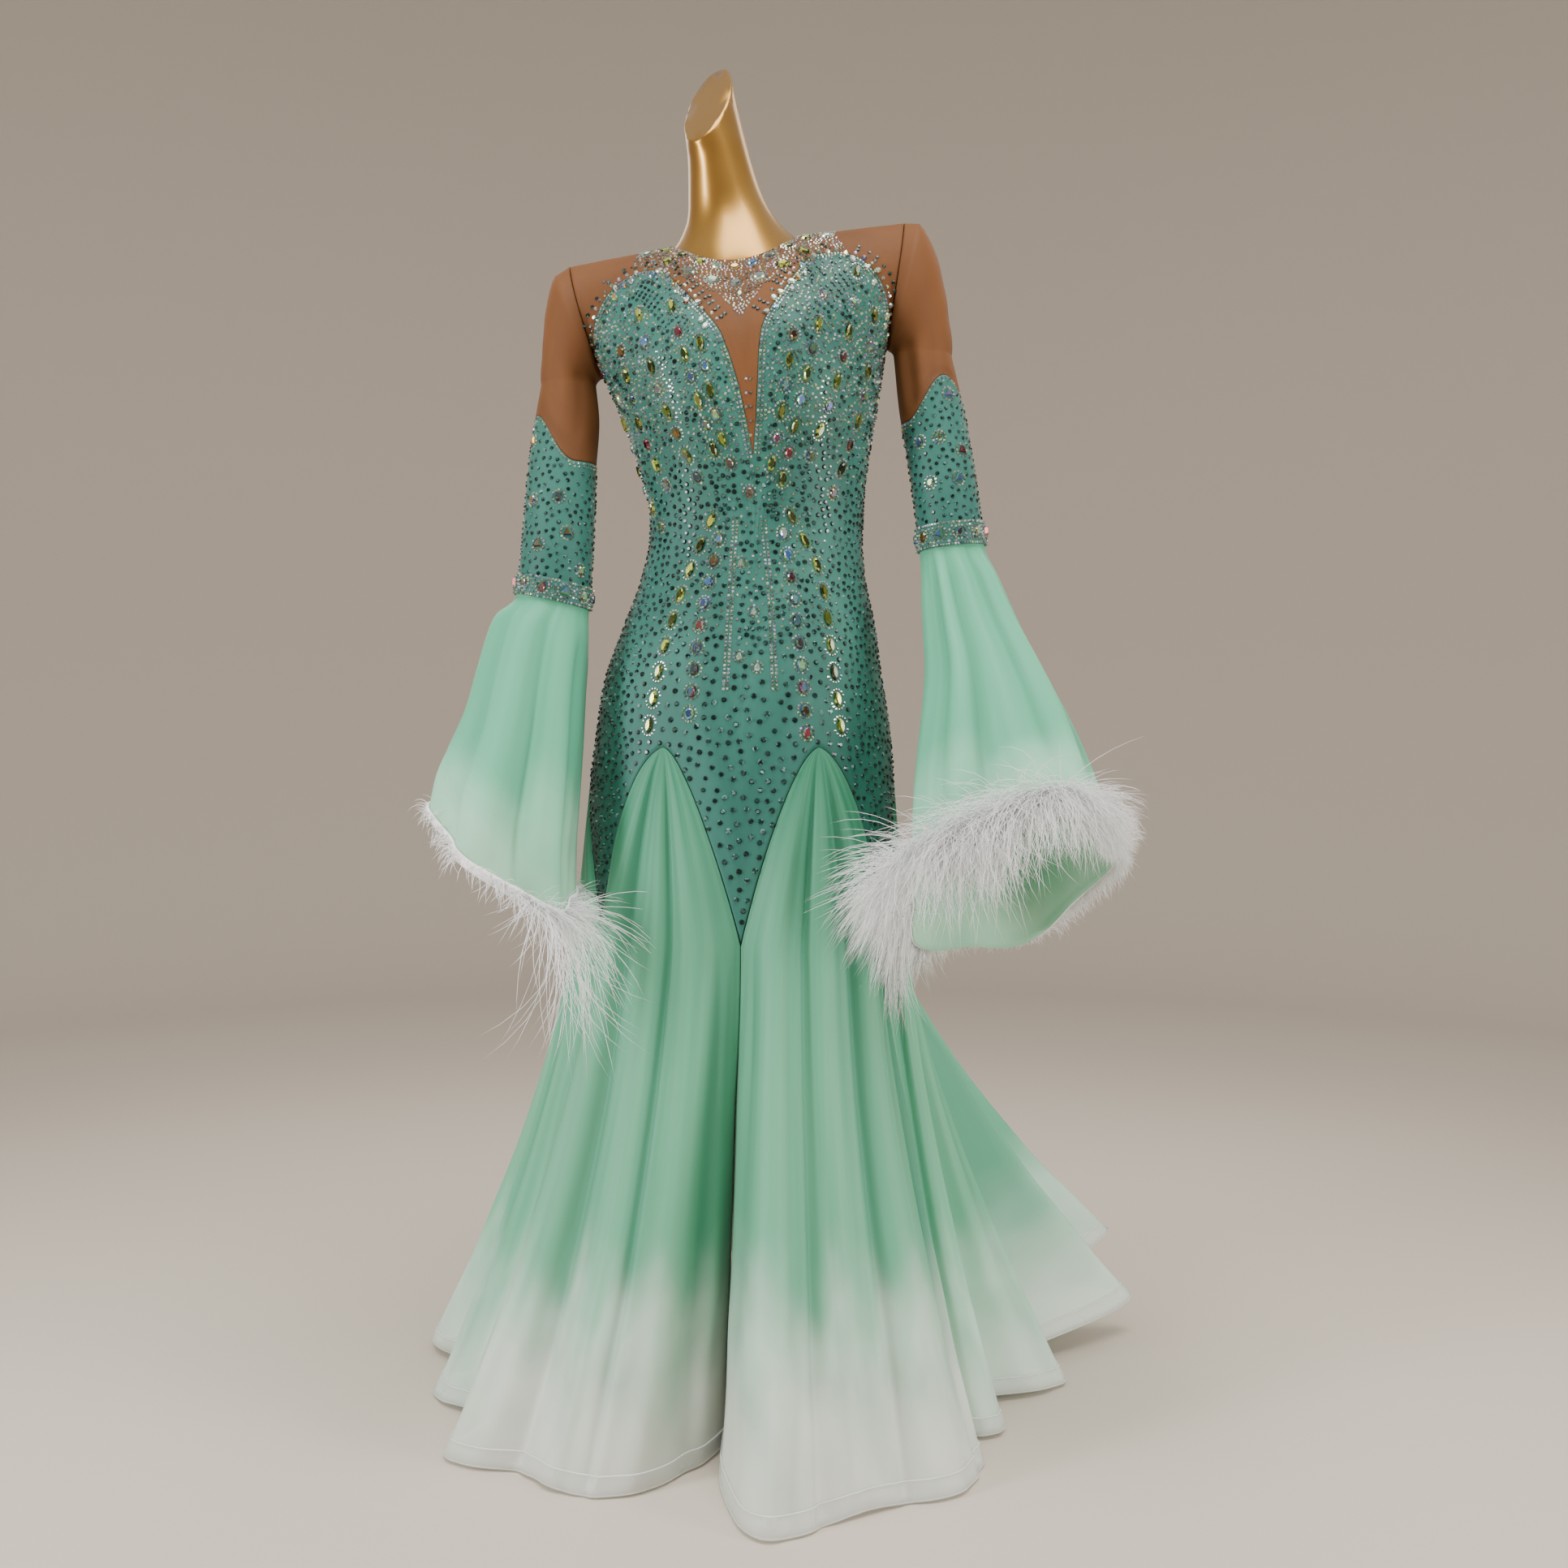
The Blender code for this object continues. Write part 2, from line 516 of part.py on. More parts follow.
def godet_rows(godet):
    places = godet_columns(godet)
    rows = []
    for share in SEAM_STEPS[1:]:
        left = lerp(godet.top, godet.left_tip, share)
        right = lerp(godet.top, godet.right_tip, share)
        inset = (2.4 if share < 1.0 else 0.8) * SEAM_GAP / BODY.at(TIP_Z).front * 180.0 / pi
        level = APEX_Z - (APEX_Z - TIP_Z) * share ** SEAM_BOW
        row = []
        for place in places:
            angle = lerp(left + inset, right - inset, 0.5 * (place + 1.0))
            arch = (APEX_Z - level) * (1.0 - abs(place)) if share == SEAM_STEPS[1] else 0.0
            row.append((angle, level + arch - 1.5 * SEAM_GAP))
        rows.append(row)
    inset = 0.8 * SEAM_GAP / BODY.at(TIP_Z).front * 180.0 / pi
    for share in SKIRT_LEVELS:
        row = []
        for place in places:
            lift = HEM.at(lerp(godet.left_hem, godet.right_hem, 0.5 * (place + 1.0))).lift
            angle = lerp(godet.left_tip + inset, godet.right_tip - inset, 0.5 * (place + 1.0))
            row.append((angle, lerp(TIP_Z, lift, share)))
        rows.append(row)
    return [[Spot(skirt_point(a, level), skirt_normal(a, level)) for a, level in row] for row in rows]


def braid_spots(top, bottom):
    """The braid's two rows, with normals read across each spot's neighbours, as the folds turn sharply."""
    count = len(bottom)
    rows = [[], []]
    for k in range(count):
        across = bottom[(k + 1) % count] - bottom[k - 1]
        normal = across.cross(top[k] - bottom[k]).normalized()
        rows[0].append(Spot(top[k], normal))
        rows[1].append(Spot(bottom[k], normal))
    return rows


def make_skirt():
    braid_top, braid_bottom = [], []
    for godet in GODETS:
        rows = godet_rows(godet)
        add_object(godet.name, lofted_wall(rows, ORGANZA_WALL), ORGANZA)
        # the braid crosses the narrow fold at the front instead of turning inside it
        first = 1 if godet.left_tip == 0.0 else 0
        for upper, lower in zip(rows[-2][first:-1], rows[-1][first:-1]):
            braid_top.append(upper.point)
            braid_bottom.append(lower.point.lerp(upper.point, 0.05))
    braid = moved_out(braid_spots(braid_top, braid_bottom), LAID_GAP + BRAID_WALL)
    add_object("hem_braid", lofted_wall(braid, BRAID_WALL, round_about=True), BRAID)


# ---------------------------------------------------------------- sleeves and bells
def ring_spot(table, side, angle, level, waves=0):
    """Point of an arm or bell ring; angle 0 is the outer side, 90 the front."""
    def point(turn, height):
        row = table.at(height)
        wave = 1.0 + row.wave * cos(radians(turn * waves)) if waves else 1.0
        x = side_sign(side) * row.half_x * wave * cos(radians(turn))
        y = -row.half_y * wave * sin(radians(turn))
        return Vector((row.x + x, row.y + y, height + row.slope_x * x + row.slope_y * y))
    low, high = table.keys[0], table.keys[-1]
    normal = surface_normal(point, angle, level, 1.0, 0.002, (-400.0, 800.0), (low, high))
    return Spot(point(angle, level), -side_sign(side) * normal)


def arm_angles(segments):
    return [360.0 * k / segments for k in range(segments)]


def armhole_row(side):
    """The sleeve's first ring follows the armhole, a seam gap outside it."""
    row = []
    place = side_sign(side)
    middle = (body_point(place, ARMPIT_Z, "front") + top_edge(place, "front")) / 2.0
    for angle in arm_angles(ARM_SEGMENTS):
        face = "front" if angle <= 180.0 else "back"
        share = abs(180.0 - angle) / 180.0
        point = body_point(place, lerp(ARMPIT_Z, TOP_LEVEL, share), face)
        point.x += place * ARMHOLE_GAP
        around = point - middle
        around.x = 0.0
        row.append(Spot(point, around.normalized()))
    return row


def head_rows(side):
    rows = [armhole_row(side)]
    table = HEAD[side]
    for turn in table.keys:
        head = table.at(turn)
        outward = Vector((side_sign(side) * sin(radians(turn)), 0.0, cos(radians(turn))))
        half = 0.5 * (head.reach - ARMPIT_TURN)
        middle = ARMPIT[side] + outward * (ARMPIT_TURN + half)
        row = []
        for angle in arm_angles(ARM_SEGMENTS):
            along = outward * cos(radians(angle))
            across = Vector((0.0, -sin(radians(angle)), 0.0))
            normal = (along / half + across / head.half_depth).normalized()
            row.append(Spot(middle + along * half + across * head.half_depth, normal))
        rows.append(row)
    return rows


def lower_edge(side, angle):
    edge = LOWER_EDGE[side]
    return edge.level + edge.peak * max(0.0, cos(radians(angle - edge.peak_angle))) ** 2


UPPER_ROWS = 3
LOWER_ROWS = 4


def make_sleeve(side):
    arm = ARM[side]
    cuff = CUFF[side]
    upper = head_rows(side)
    for r in range(1, UPPER_ROWS + 1):
        upper.append([ring_spot(arm, side, a, lerp(arm.keys[-1], lower_edge(side, a) + 2.0 * SEAM_GAP,
                                                   r / UPPER_ROWS)) for a in arm_angles(ARM_SEGMENTS)])
    add_object("sleeve_upper_" + side, lofted_wall(upper, CREPE_WALL, round_about=True), NET)

    cuff_top = cuff.level + cuff.half_height
    lower = []
    for r in range(LOWER_ROWS + 1):
        lower.append([ring_spot(arm, side, a, lerp(lower_edge(side, a), cuff_top, r / LOWER_ROWS))
                      for a in arm_angles(ARM_SEGMENTS)])
    lower.append([ring_spot(arm, side, a, cuff.level + SEAM_GAP) for a in arm_angles(ARM_SEGMENTS)])
    add_object("sleeve_lower_" + side, lofted_wall(lower, CREPE_WALL, round_about=True), TEAL)

    angles = arm_angles(BELL_SEGMENTS[side])
    band = [[ring_spot(arm, side, a, cuff_top) for a in angles],
            [ring_spot(BELL[side], side, a, cuff.level - cuff.half_height, BELL_WAVES) for a in angles]]
    band = moved_out(band, BAND_WALL + 2.0 * LAID_GAP)
    add_object("cuff_band_" + side, lofted_wall(band, BAND_WALL, round_about=True), TEAL)


def make_bell(side):
    angles = arm_angles(BELL_SEGMENTS[side])
    rows = [[ring_spot(BELL[side], side, a, level, BELL_WAVES) for a in angles]
            for level in BELL_LEVELS[side]]
    add_object("bell_sleeve_" + side, lofted_wall(rows, ORGANZA_WALL, round_about=True), ORGANZA)
    make_feathers(side, angles, rows[-2:])


STRIP_WALL = 0.0022
STRAND_STEPS = (0.45, 1.0)
STRAND_TAPER = (0.65, 0.25)


def make_feathers(side, angles, rim_rows):
    """A backing strip round the bell's rim, with one strand drawn from every other of its outer faces."""
    feather = FEATHER[side]
    strip = moved_out(rim_rows, STRIP_WALL + LAID_GAP)
    mesh = bmesh.new()
    count = len(angles)
    outside = [[mesh.verts.new(spot.point) for spot in row] for row in strip]
    inside = [[mesh.verts.new(spot.point - spot.normal * STRIP_WALL) for spot in row] for row in strip]
    roots = []
    for j in range(count):
        n = (j + 1) % count
        roots.append(mesh.faces.new((outside[0][j], outside[0][n], outside[1][n], outside[1][j])))
        mesh.faces.new((inside[0][n], inside[0][j], inside[1][n]))
        mesh.faces.new((inside[0][j], inside[1][j], inside[1][n]))
        mesh.faces.new((outside[0][n], outside[0][j], inside[0][j], inside[0][n]))
        mesh.faces.new((outside[1][j], outside[1][n], inside[1][n], inside[1][j]))
    bmesh.ops.recalc_face_normals(mesh, faces=mesh.faces)
    middle = sum((v.co for v in mesh.verts), Vector()) / len(mesh.verts)
    for j, root in enumerate(roots):
        draw_strand(mesh, root, angles[j] + 180.0 / count, feather, middle, j)
    add_object("feather_trim_" + side, mesh, FEATHER_WHITE)


def draw_strand(mesh, root, angle, feather, middle, number):
    """Pull one tapering strand out of a strip face: out from the rim, then hanging."""
    bmesh.ops.inset_individual(mesh, faces=[root], thickness=0.0028)
    centre = root.calc_center_median()
    out = centre - middle
    out.z = 0.0
    out.normalize()
    length = lerp(feather.short, feather.long, 0.5 + 0.5 * sin(number * 2.4))
    length += feather.tail * bell_curve(((angle - feather.tail_angle + 180.0) % 360.0 - 180.0) / 22.0)
    length *= 1.0 - 0.80 * bell_curve((angle - 208.0) / 28.0)
    inner_side = max(0.0, -cos(radians(angle)))
    flare = feather.flare * (1.0 - 0.85 * inner_side)
    forward = feather.forward * inner_side
    face = root
    base = centre.copy()
    last = centre
    scale = 1.0
    for step, taper in zip(STRAND_STEPS, STRAND_TAPER):
        target = base + Vector((0.0, 0.0, -1.0)) * length * step
        target += out * (0.006 + flare * length * (1.0 - (1.0 - step) ** 2))
        target += Vector((0.0, -forward * length * step, 0.0))
        face.normal_update()
        turn = face.normal.rotation_difference(target - last)
        made = bmesh.ops.extrude_discrete_faces(mesh, faces=[face])
        face = made["faces"][0]
        here = face.calc_center_median()
        ratio = taper / scale
        scale = taper
        for vert in face.verts:
            vert.co = target + turn @ ((vert.co - here) * ratio)
        last = target


# ---------------------------------------------------------------- form and stand
# the neck leans to the viewer's left and ends in a slanted oval face
NeckRing = namedtuple("NeckRing", "x y z half_width half_depth slope_x slope_y")
NECK_RINGS = [
    NeckRing(-0.0165, SPINE_Y + 0.008, 1.392, 0.0500, 0.0420, 0.08, 0.15),
    NeckRing(-0.0250, SPINE_Y + 0.008, 1.425, 0.0420, 0.0420, 0.10, 0.20),
    NeckRing(-0.0320, SPINE_Y + 0.006, 1.470, 0.0345, 0.0410, 0.35, 0.30),
    NeckRing(-0.0375, SPINE_Y + 0.004, 1.497, 0.0312, 0.0405, 0.62, 0.78),
    NeckRing(-0.0425, SPINE_Y + 0.002, 1.524, 0.0280, 0.0400, 0.90, 1.25)]
FORM_LEVELS = (0.745, 0.80, 0.85, 0.90, 0.945, 0.985, 1.023, 1.065, 1.11, 1.15, 1.19, 1.2235,
               1.255, 1.285, 1.315, 1.337, TOP_LEVEL)
ARM_CAP_SWELL = 0.012


def form_places():
    near = [NECK_PLACE * k / 4 for k in range(5)]
    far = [lerp(NECK_PLACE, 1.0, k / 4) for k in range(1, 5)]
    half = near + far
    return [-p for p in half[:0:-1]] + half


def form_ring(level, places):
    """One closed ring of the form, front then back, with a cap point at each armhole."""
    at_top = level >= TOP_LEVEL - 0.001
    ring = []
    for face, order in (("front", places), ("back", places[::-1])):
        for place in order:
            seat = FORM_SEAT if at_top else lerp(FORM_INSET, CHEST_INSET, smooth((level - 1.03) / 0.10))
            ring.append(body_point(place, level, face) - body_normal(place, level, face) * seat)
        if level > ARMPIT_Z + 0.001 and not at_top:
            edge = 1.0 if face == "front" else -1.0
            middle = (body_point(edge, level, "front") + body_point(edge, level, "back")) / 2.0
            share = sin(pi * (level - ARMPIT_Z) / TOP_RISE)
            ring.append(middle + Vector((edge * ARM_CAP_SWELL * share, 0.0, 0.0)))
        else:
            ring.append(None)
    return ring


def make_form():
    places = form_places()
    mesh = bmesh.new()
    rings = []
    count = len(places)
    for level in FORM_LEVELS:
        points = form_ring(level, places)
        # below the armpits and on the shoulders front and back share their side point
        shared = level <= ARMPIT_Z + 0.001
        at_top = level >= TOP_LEVEL - 0.001
        verts = [mesh.verts.new(p) if p is not None else None for p in points]
        front, cap_right = verts[:count], verts[count]
        back, cap_left = verts[count + 1:2 * count + 1], verts[2 * count + 1]
        if shared or at_top:
            for j in (0, count - 1):
                mesh.verts.remove(back[count - 1 - j])
                back[count - 1 - j] = front[j]
            cap_right, cap_left = front[-1], front[0]
        if at_top:
            for j, place in enumerate(places):
                if 0 < j < count - 1 and abs(place) >= NECK_PLACE - 0.001:
                    mesh.verts.remove(back[count - 1 - j])
                    back[count - 1 - j] = front[j]
        rings.append(front + [cap_right] + back + [cap_left])
    for lower, upper in zip(rings, rings[1:]):
        size = len(lower)
        for j in range(size):
            n = (j + 1) % size
            corners = []
            for vert in (lower[j], lower[n], upper[n], upper[j]):
                if vert not in corners:
                    corners.append(vert)
            if len(corners) >= 3:
                mesh.faces.new(corners)
    bottom = []
    for vert in rings[0]:
        if vert not in bottom:
            bottom.append(vert)
    for vert in bottom:
        vert.co.z = FORM_BASE_Z
    mesh.faces.new(bottom)
    # the neck rises from the ring of neckline points
    top_front = [v for v, place in zip(rings[-1][:count], places) if abs(place) <= NECK_PLACE + 0.001]
    top_back = [v for v, place in zip(rings[-1][count + 1:2 * count + 1], places[::-1])
                if abs(place) < NECK_PLACE - 0.001]
    below = top_front + top_back
    for row in NECK_RINGS:
        ring = []
        for k in range(len(below)):
            if k < len(top_front):
                turn = -pi + pi * k / (len(top_front) - 1)
            else:
                turn = pi * (k - len(top_front) + 1) / (len(top_back) + 1)
            x = row.half_width * cos(turn)
            y = row.half_depth * sin(turn)
            ring.append(mesh.verts.new((row.x + x, row.y + y, row.z + row.slope_x * x + row.slope_y * y)))
        for j in range(len(below)):
            n = (j + 1) % len(below)
            mesh.faces.new((below[j], below[n], ring[n], ring[j]))
        below = ring
    mesh.faces.new(below)
    add_object("form_torso", mesh, GOLD)


def turned(name, profile, segments, finish):
    """Closed solid of revolution about the stand's middle, from (radius, z) corners, top to bottom."""
    data = bpy.data.meshes.new(name)
    data.from_pydata([(r, 0.0, z) for r, z in profile],
                     [(k, k + 1) for k in range(len(profile) - 1)], [])
    made = bpy.data.objects.new(name, data)
    DRESS.objects.link(made)
    screw = made.modifiers.new("turn", "SCREW")
    screw.steps = segments
    screw.render_steps = segments
    screw.use_merge_vertices = True
    screw.merge_threshold = 0.00005
    screw.use_smooth_shade = True
    data.materials.append(finish)
    return made


def make_stand():
    turned("stand_base", [(0.0, STAND_THICK + 0.006), (0.030, STAND_THICK + 0.006), (0.034, STAND_THICK),
                          (STAND_RADIUS - 0.006, 0.010), (STAND_RADIUS, 0.005), (STAND_RADIUS, 0.0),
                          (0.0, 0.0)], 40, STEEL)
    pole_foot = STAND_THICK + 0.006 + SEAM_GAP
    pole_head = FORM_BASE_Z - SEAM_GAP
    turned("stand_pole", [(0.0, pole_head), (POLE_RADIUS, pole_head), (POLE_RADIUS, pole_foot),
                          (0.0, pole_foot)], 24, STEEL)


# ---------------------------------------------------------------- build
for leftover in list(bpy.data.objects):
    bpy.data.objects.remove(leftover, do_unlink=True)
DRESS = bpy.data.collections.new("ballroom_dress")
bpy.context.scene.collection.children.link(DRESS)

TEAL = material("teal_crepe", (0.09, 0.36, 0.24), 0.55)
NET = material("skin_tone_net", (0.33, 0.14, 0.055), 0.70)
ORGANZA = material("mint_organza", (0.45, 0.65, 0.50), 0.45)
BRAID = material("hem_braid", (0.80, 0.72, 0.70), 0.50)
FEATHER_WHITE = material("white_feather", (0.72, 0.69, 0.68), 0.85)
ZIP = material("zip_tape", (0.10, 0.34, 0.24), 0.60)
GOLD = material("gold_form", (0.42, 0.24, 0.05), 0.25, 0.9)
STEEL = material("stand_steel", (0.30, 0.30, 0.30), 0.40, 0.9)

make_panels()
make_skirt()
for arm_side in ("left", "right"):
    make_sleeve(arm_side)
    make_bell(arm_side)
make_form()
make_stand()
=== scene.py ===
import random
from bisect import bisect_right
from collections import namedtuple
from math import cos, exp, hypot, pi, radians, sin, sqrt, tan

import bmesh
import bpy
from mathutils import Matrix, Vector


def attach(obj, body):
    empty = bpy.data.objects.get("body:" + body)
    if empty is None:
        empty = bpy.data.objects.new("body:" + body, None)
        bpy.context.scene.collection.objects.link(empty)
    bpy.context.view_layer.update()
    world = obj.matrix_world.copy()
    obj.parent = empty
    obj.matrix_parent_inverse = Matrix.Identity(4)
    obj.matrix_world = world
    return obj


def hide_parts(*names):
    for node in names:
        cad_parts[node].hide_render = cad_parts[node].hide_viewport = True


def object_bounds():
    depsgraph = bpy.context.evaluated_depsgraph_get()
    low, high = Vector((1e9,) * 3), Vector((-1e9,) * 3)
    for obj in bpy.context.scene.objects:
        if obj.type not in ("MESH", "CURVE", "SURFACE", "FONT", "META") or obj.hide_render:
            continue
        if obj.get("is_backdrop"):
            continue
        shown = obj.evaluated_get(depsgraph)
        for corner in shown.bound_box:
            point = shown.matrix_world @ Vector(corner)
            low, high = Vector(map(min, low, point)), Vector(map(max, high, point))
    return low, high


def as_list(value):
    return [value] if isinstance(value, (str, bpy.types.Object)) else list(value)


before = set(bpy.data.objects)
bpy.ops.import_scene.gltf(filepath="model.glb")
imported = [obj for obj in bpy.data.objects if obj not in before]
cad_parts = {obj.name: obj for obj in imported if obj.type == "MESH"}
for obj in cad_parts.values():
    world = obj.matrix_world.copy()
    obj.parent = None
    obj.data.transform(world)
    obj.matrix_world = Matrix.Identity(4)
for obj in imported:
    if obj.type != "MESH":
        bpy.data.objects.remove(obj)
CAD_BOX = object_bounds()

# ---------------------------------------------------------------- sizes shared with the solids
FACES = ("front", "back")
SIDES = ("left", "right")
UP = Vector((0.0, 0.0, 1.0))
MM = 0.001
CREPE_WALL = 0.0015
ORGANZA_WALL = 0.0012
BAND_WALL = 0.0022
BRAID_WALL = 0.0010
STRIP_WALL = 0.0022
SEAM_GAP = 0.0003
LAID_GAP = 0.0005          # between a panel and what is laid on it
ARMHOLE_GAP = 0.0010
SPINE_Y = -0.040           # the body's middle

ARMPIT_Z = 1.2235          # highest full ring round the body
TOP_RISE = 0.130           # level difference from that ring to the shoulder seam
TOP_LEVEL = ARMPIT_Z + TOP_RISE
APEX_Z = 0.780             # where the godets start, at the hips
TIP_Z = 0.565              # where the bodice's points end
SEAM_BOW = 1.7             # how round the godets' tops are
HIP_SIDE = 98.0            # side seam's angle from the front at the hips
ARMPIT_SIDE = 90.0
FLARE = 1.7                # how late the skirt swings out
LOOSEN = 0.20              # height over which the folds reach the seams below the tips


# ---------------------------------------------------------------- tables read as smooth curves
class Table:
    """Rows of named columns in rising order of the first; at() reads a smooth curve with no overshoot."""

    def __init__(self, columns, rows):
        self.row_type = namedtuple("Row", columns)
        self.rows = rows
        self.keys = [row[0] for row in rows]
        self.slopes = [self.column_slopes(c) for c in range(len(rows[0]))]

    def column_slopes(self, column):
        steps = [(b[column] - a[column]) / (b[0] - a[0]) for a, b in zip(self.rows, self.rows[1:])]
        inner = [0.0 if s * t <= 0.0 else 2.0 * s * t / (s + t) for s, t in zip(steps, steps[1:])]
        return [steps[0]] + inner + [steps[-1]]

    def at(self, key):
        key = min(max(key, self.keys[0]), self.keys[-1])
        k = min(bisect_right(self.keys, key), len(self.keys) - 1) - 1
        width = self.keys[k + 1] - self.keys[k]
        t = (key - self.keys[k]) / width
        values = []
        for c, slope in enumerate(self.slopes):
            a, b = self.rows[k][c], self.rows[k + 1][c]
            rise = a + (b - a) * t * t * (3.0 - 2.0 * t)
            lean = width * (slope[k] * t * (1.0 - t) ** 2 - slope[k + 1] * t * t * (1.0 - t))
            values.append(rise + lean)
        return self.row_type(*values)


BODY = Table("level centre_x half_width front back roll", [
    (0.400, -0.002, 0.170, 0.113, 0.118, 0.0),
    (0.565, -0.002, 0.175, 0.115, 0.122, 0.0),
    (0.687, -0.003, 0.178, 0.118, 0.124, 0.0),
    (0.745, -0.003, 0.176, 0.117, 0.124, 0.0),
    (0.790, -0.002, 0.171, 0.115, 0.122, 0.0),
    (0.846, -0.002, 0.163, 0.110, 0.115, 0.0),
    (0.921, 0.005, 0.145, 0.099, 0.099, 0.5),
    (0.982, 0.010, 0.128, 0.090, 0.088, 1.0),
    (1.023, 0.013, 0.123, 0.087, 0.084, 1.8),
    (1.046, 0.014, 0.123, 0.089, 0.083, 2.2),
    (1.090, 0.012, 0.129, 0.097, 0.086, 3.2),
    (1.159, 0.008, 0.145, 0.109, 0.092, 4.6),
    (1.2235, 0.000, 0.163, 0.110, 0.095, 5.8)])
BUST_ANGLE = 33.0
BUST_SPREAD = 17.0
BUST_Z = 1.180
BUST_TALL = 0.045
BUST_SWELL = 0.014

# neckline ends and shoulder tips, x y z from the spine, and how far the neckline dips at front and back
NECK_LEFT = Vector((-0.0845, SPINE_Y + 0.012, 1.362))
NECK_RIGHT = Vector((0.0645, SPINE_Y + 0.012, 1.375))
SHOULDER_LEFT = Vector((-0.202, SPINE_Y + 0.008, 1.338))
SHOULDER_RIGHT = Vector((0.184, SPINE_Y + 0.008, 1.388))
NeckCurve = namedtuple("NeckCurve", "reach rise")
NECK_FRONT = NeckCurve(-0.067, -0.0405)
NECK_BACK = NeckCurve(0.045, 0.012)
ARMHOLE_SWELL = {"front": -0.062, "back": 0.052}

# front and back panels: angle from the panel's middle at each seam point, godet tops and tips in turn
FRONT_POINTS = ((0.0, "tip"), (30.0, "top"), (65.0, "tip"), (98.0, "top"))
BACK_POINTS = ((0.0, "tip"), (28.0, "top"), (55.0, "tip"), (82.0, "top"))

# level of the seam between bodice and yoke, by the column's place from middle (0) to side (1)
SWEETHEART = Table("place level", [
    (0.0, 1.100), (0.098, 1.245), (0.199, 1.275), (0.306, 1.291), (0.431, 1.301), (0.549, 1.303),
    (0.663, 1.297), (0.771, 1.281), (0.882, 1.258), (0.959, 1.238), (1.0, 1.226)])
BACK_SCOOP = Table("place level", [
    (0.0, 1.120), (0.12, 1.160), (0.30, 1.225), (0.60, 1.270), (1.0, 1.286)])

# the hem's folds, once round from the front to the viewer's right: ridges and valleys, in degrees and metres
HEM_FOLDS = [
    (-11.0, 0.105, 0.004), (-2.0, 0.262, 0.001), (6.0, 0.318, 0.001), (27.0, 0.287, 0.002),
    (48.0, 0.315, 0.001), (60.0, 0.305, 0.002), (66.0, 0.265, 0.006), (78.0, 0.302, 0.002),
    (89.0, 0.262, 0.010), (100.0, 0.395, 0.003), (108.0, 0.340, 0.015), (115.0, 0.560, 0.050),
    (120.0, 0.470, 0.070), (126.0, 0.620, 0.100), (140.0, 0.420, 0.030), (154.0, 0.560, 0.020),
    (167.0, 0.390, 0.020), (182.0, 0.530, 0.015), (196.0, 0.380, 0.015), (210.0, 0.510, 0.010),
    (224.0, 0.360, 0.015), (243.0, 0.456, 0.004), (254.0, 0.360, 0.010), (265.0, 0.378, 0.003),
    (278.0, 0.300, 0.008), (291.0, 0.352, 0.001), (308.0, 0.290, 0.002), (324.0, 0.278, 0.001),
    (343.0, 0.168, 0.002), (349.0, 0.105, 0.004)]
HEM = Table("angle radius lift", HEM_FOLDS)

Godet = namedtuple("Godet", "name left_tip top right_tip left_hem right_hem")
GODETS = [
    Godet("godet_front_right", 0.0, 30.0, 65.0, -11.0, 66.0),
    Godet("godet_side_right", 65.0, 98.0, 125.0, 66.0, 108.0),
    Godet("godet_back_right", 125.0, 152.0, 180.0, 108.0, 167.0),
    Godet("godet_back_left", 180.0, 208.0, 235.0, 167.0, 224.0),
    Godet("godet_side_left", 235.0, 262.0, 295.0, 224.0, 278.0),
    Godet("godet_front_left", 295.0, 330.0, 360.0, 278.0, 349.0)]

# sleeves: the head turns about the armpit, then rings go down the arm to the cuff
ARMPIT_TURN = 0.008        # radius of the turn under the arm
HEAD = {
    "left": Table("turn reach half_depth", [
        (24.0, 0.136, 0.047), (36.0, 0.110, 0.045), (52.0, 0.087, 0.042), (70.0, 0.075, 0.039),
        (90.0, 0.071, 0.037)]),
    "right": Table("turn reach half_depth", [
        (14.0, 0.157, 0.047), (24.0, 0.134, 0.047), (40.0, 0.103, 0.043), (64.0, 0.081, 0.039),
        (90.0, 0.075, 0.0375)])}
ARMPIT = {"left": Vector((-0.165, SPINE_Y, 1.199)), "right": Vector((0.165, SPINE_Y, 1.232))}
ARM_COLUMNS = "level x y half_x half_y slope_x slope_y"
ARM = {
    "left": Table(ARM_COLUMNS, [
        (0.957, -0.218, SPINE_Y - 0.034, 0.0410, 0.0410, -0.22, 0.0),
        (0.980, -0.216, SPINE_Y - 0.030, 0.0405, 0.0405, -0.20, 0.0),
        (1.046, -0.213, SPINE_Y - 0.018, 0.0400, 0.0400, -0.05, 0.0),
        (1.100, -0.211, SPINE_Y - 0.009, 0.0390, 0.0390, 0.0, 0.0),
        (1.156, -0.206, SPINE_Y - 0.003, 0.0370, 0.0375, 0.0, 0.0),
        (1.199, -0.2045, SPINE_Y, 0.0315, 0.0370, 0.0, 0.0)]),
    "right": Table(ARM_COLUMNS, [
        (1.020, 0.237, SPINE_Y - 0.030, 0.0366, 0.0370, 0.10, 0.0),
        (1.036, 0.235, SPINE_Y - 0.027, 0.0366, 0.0370, 0.10, 0.0),
        (1.100, 0.227, SPINE_Y - 0.016, 0.0370, 0.0370, 0.05, 0.0),
        (1.158, 0.218, SPINE_Y - 0.007, 0.0375, 0.0375, 0.0, 0.0),
        (1.232, 0.2065, SPINE_Y, 0.0335, 0.0375, 0.0, 0.0)])}
Cuff = namedtuple("Cuff", "level half_height")
CUFF = {"left": Cuff(0.957, 0.012), "right": Cuff(1.020, 0.0135)}
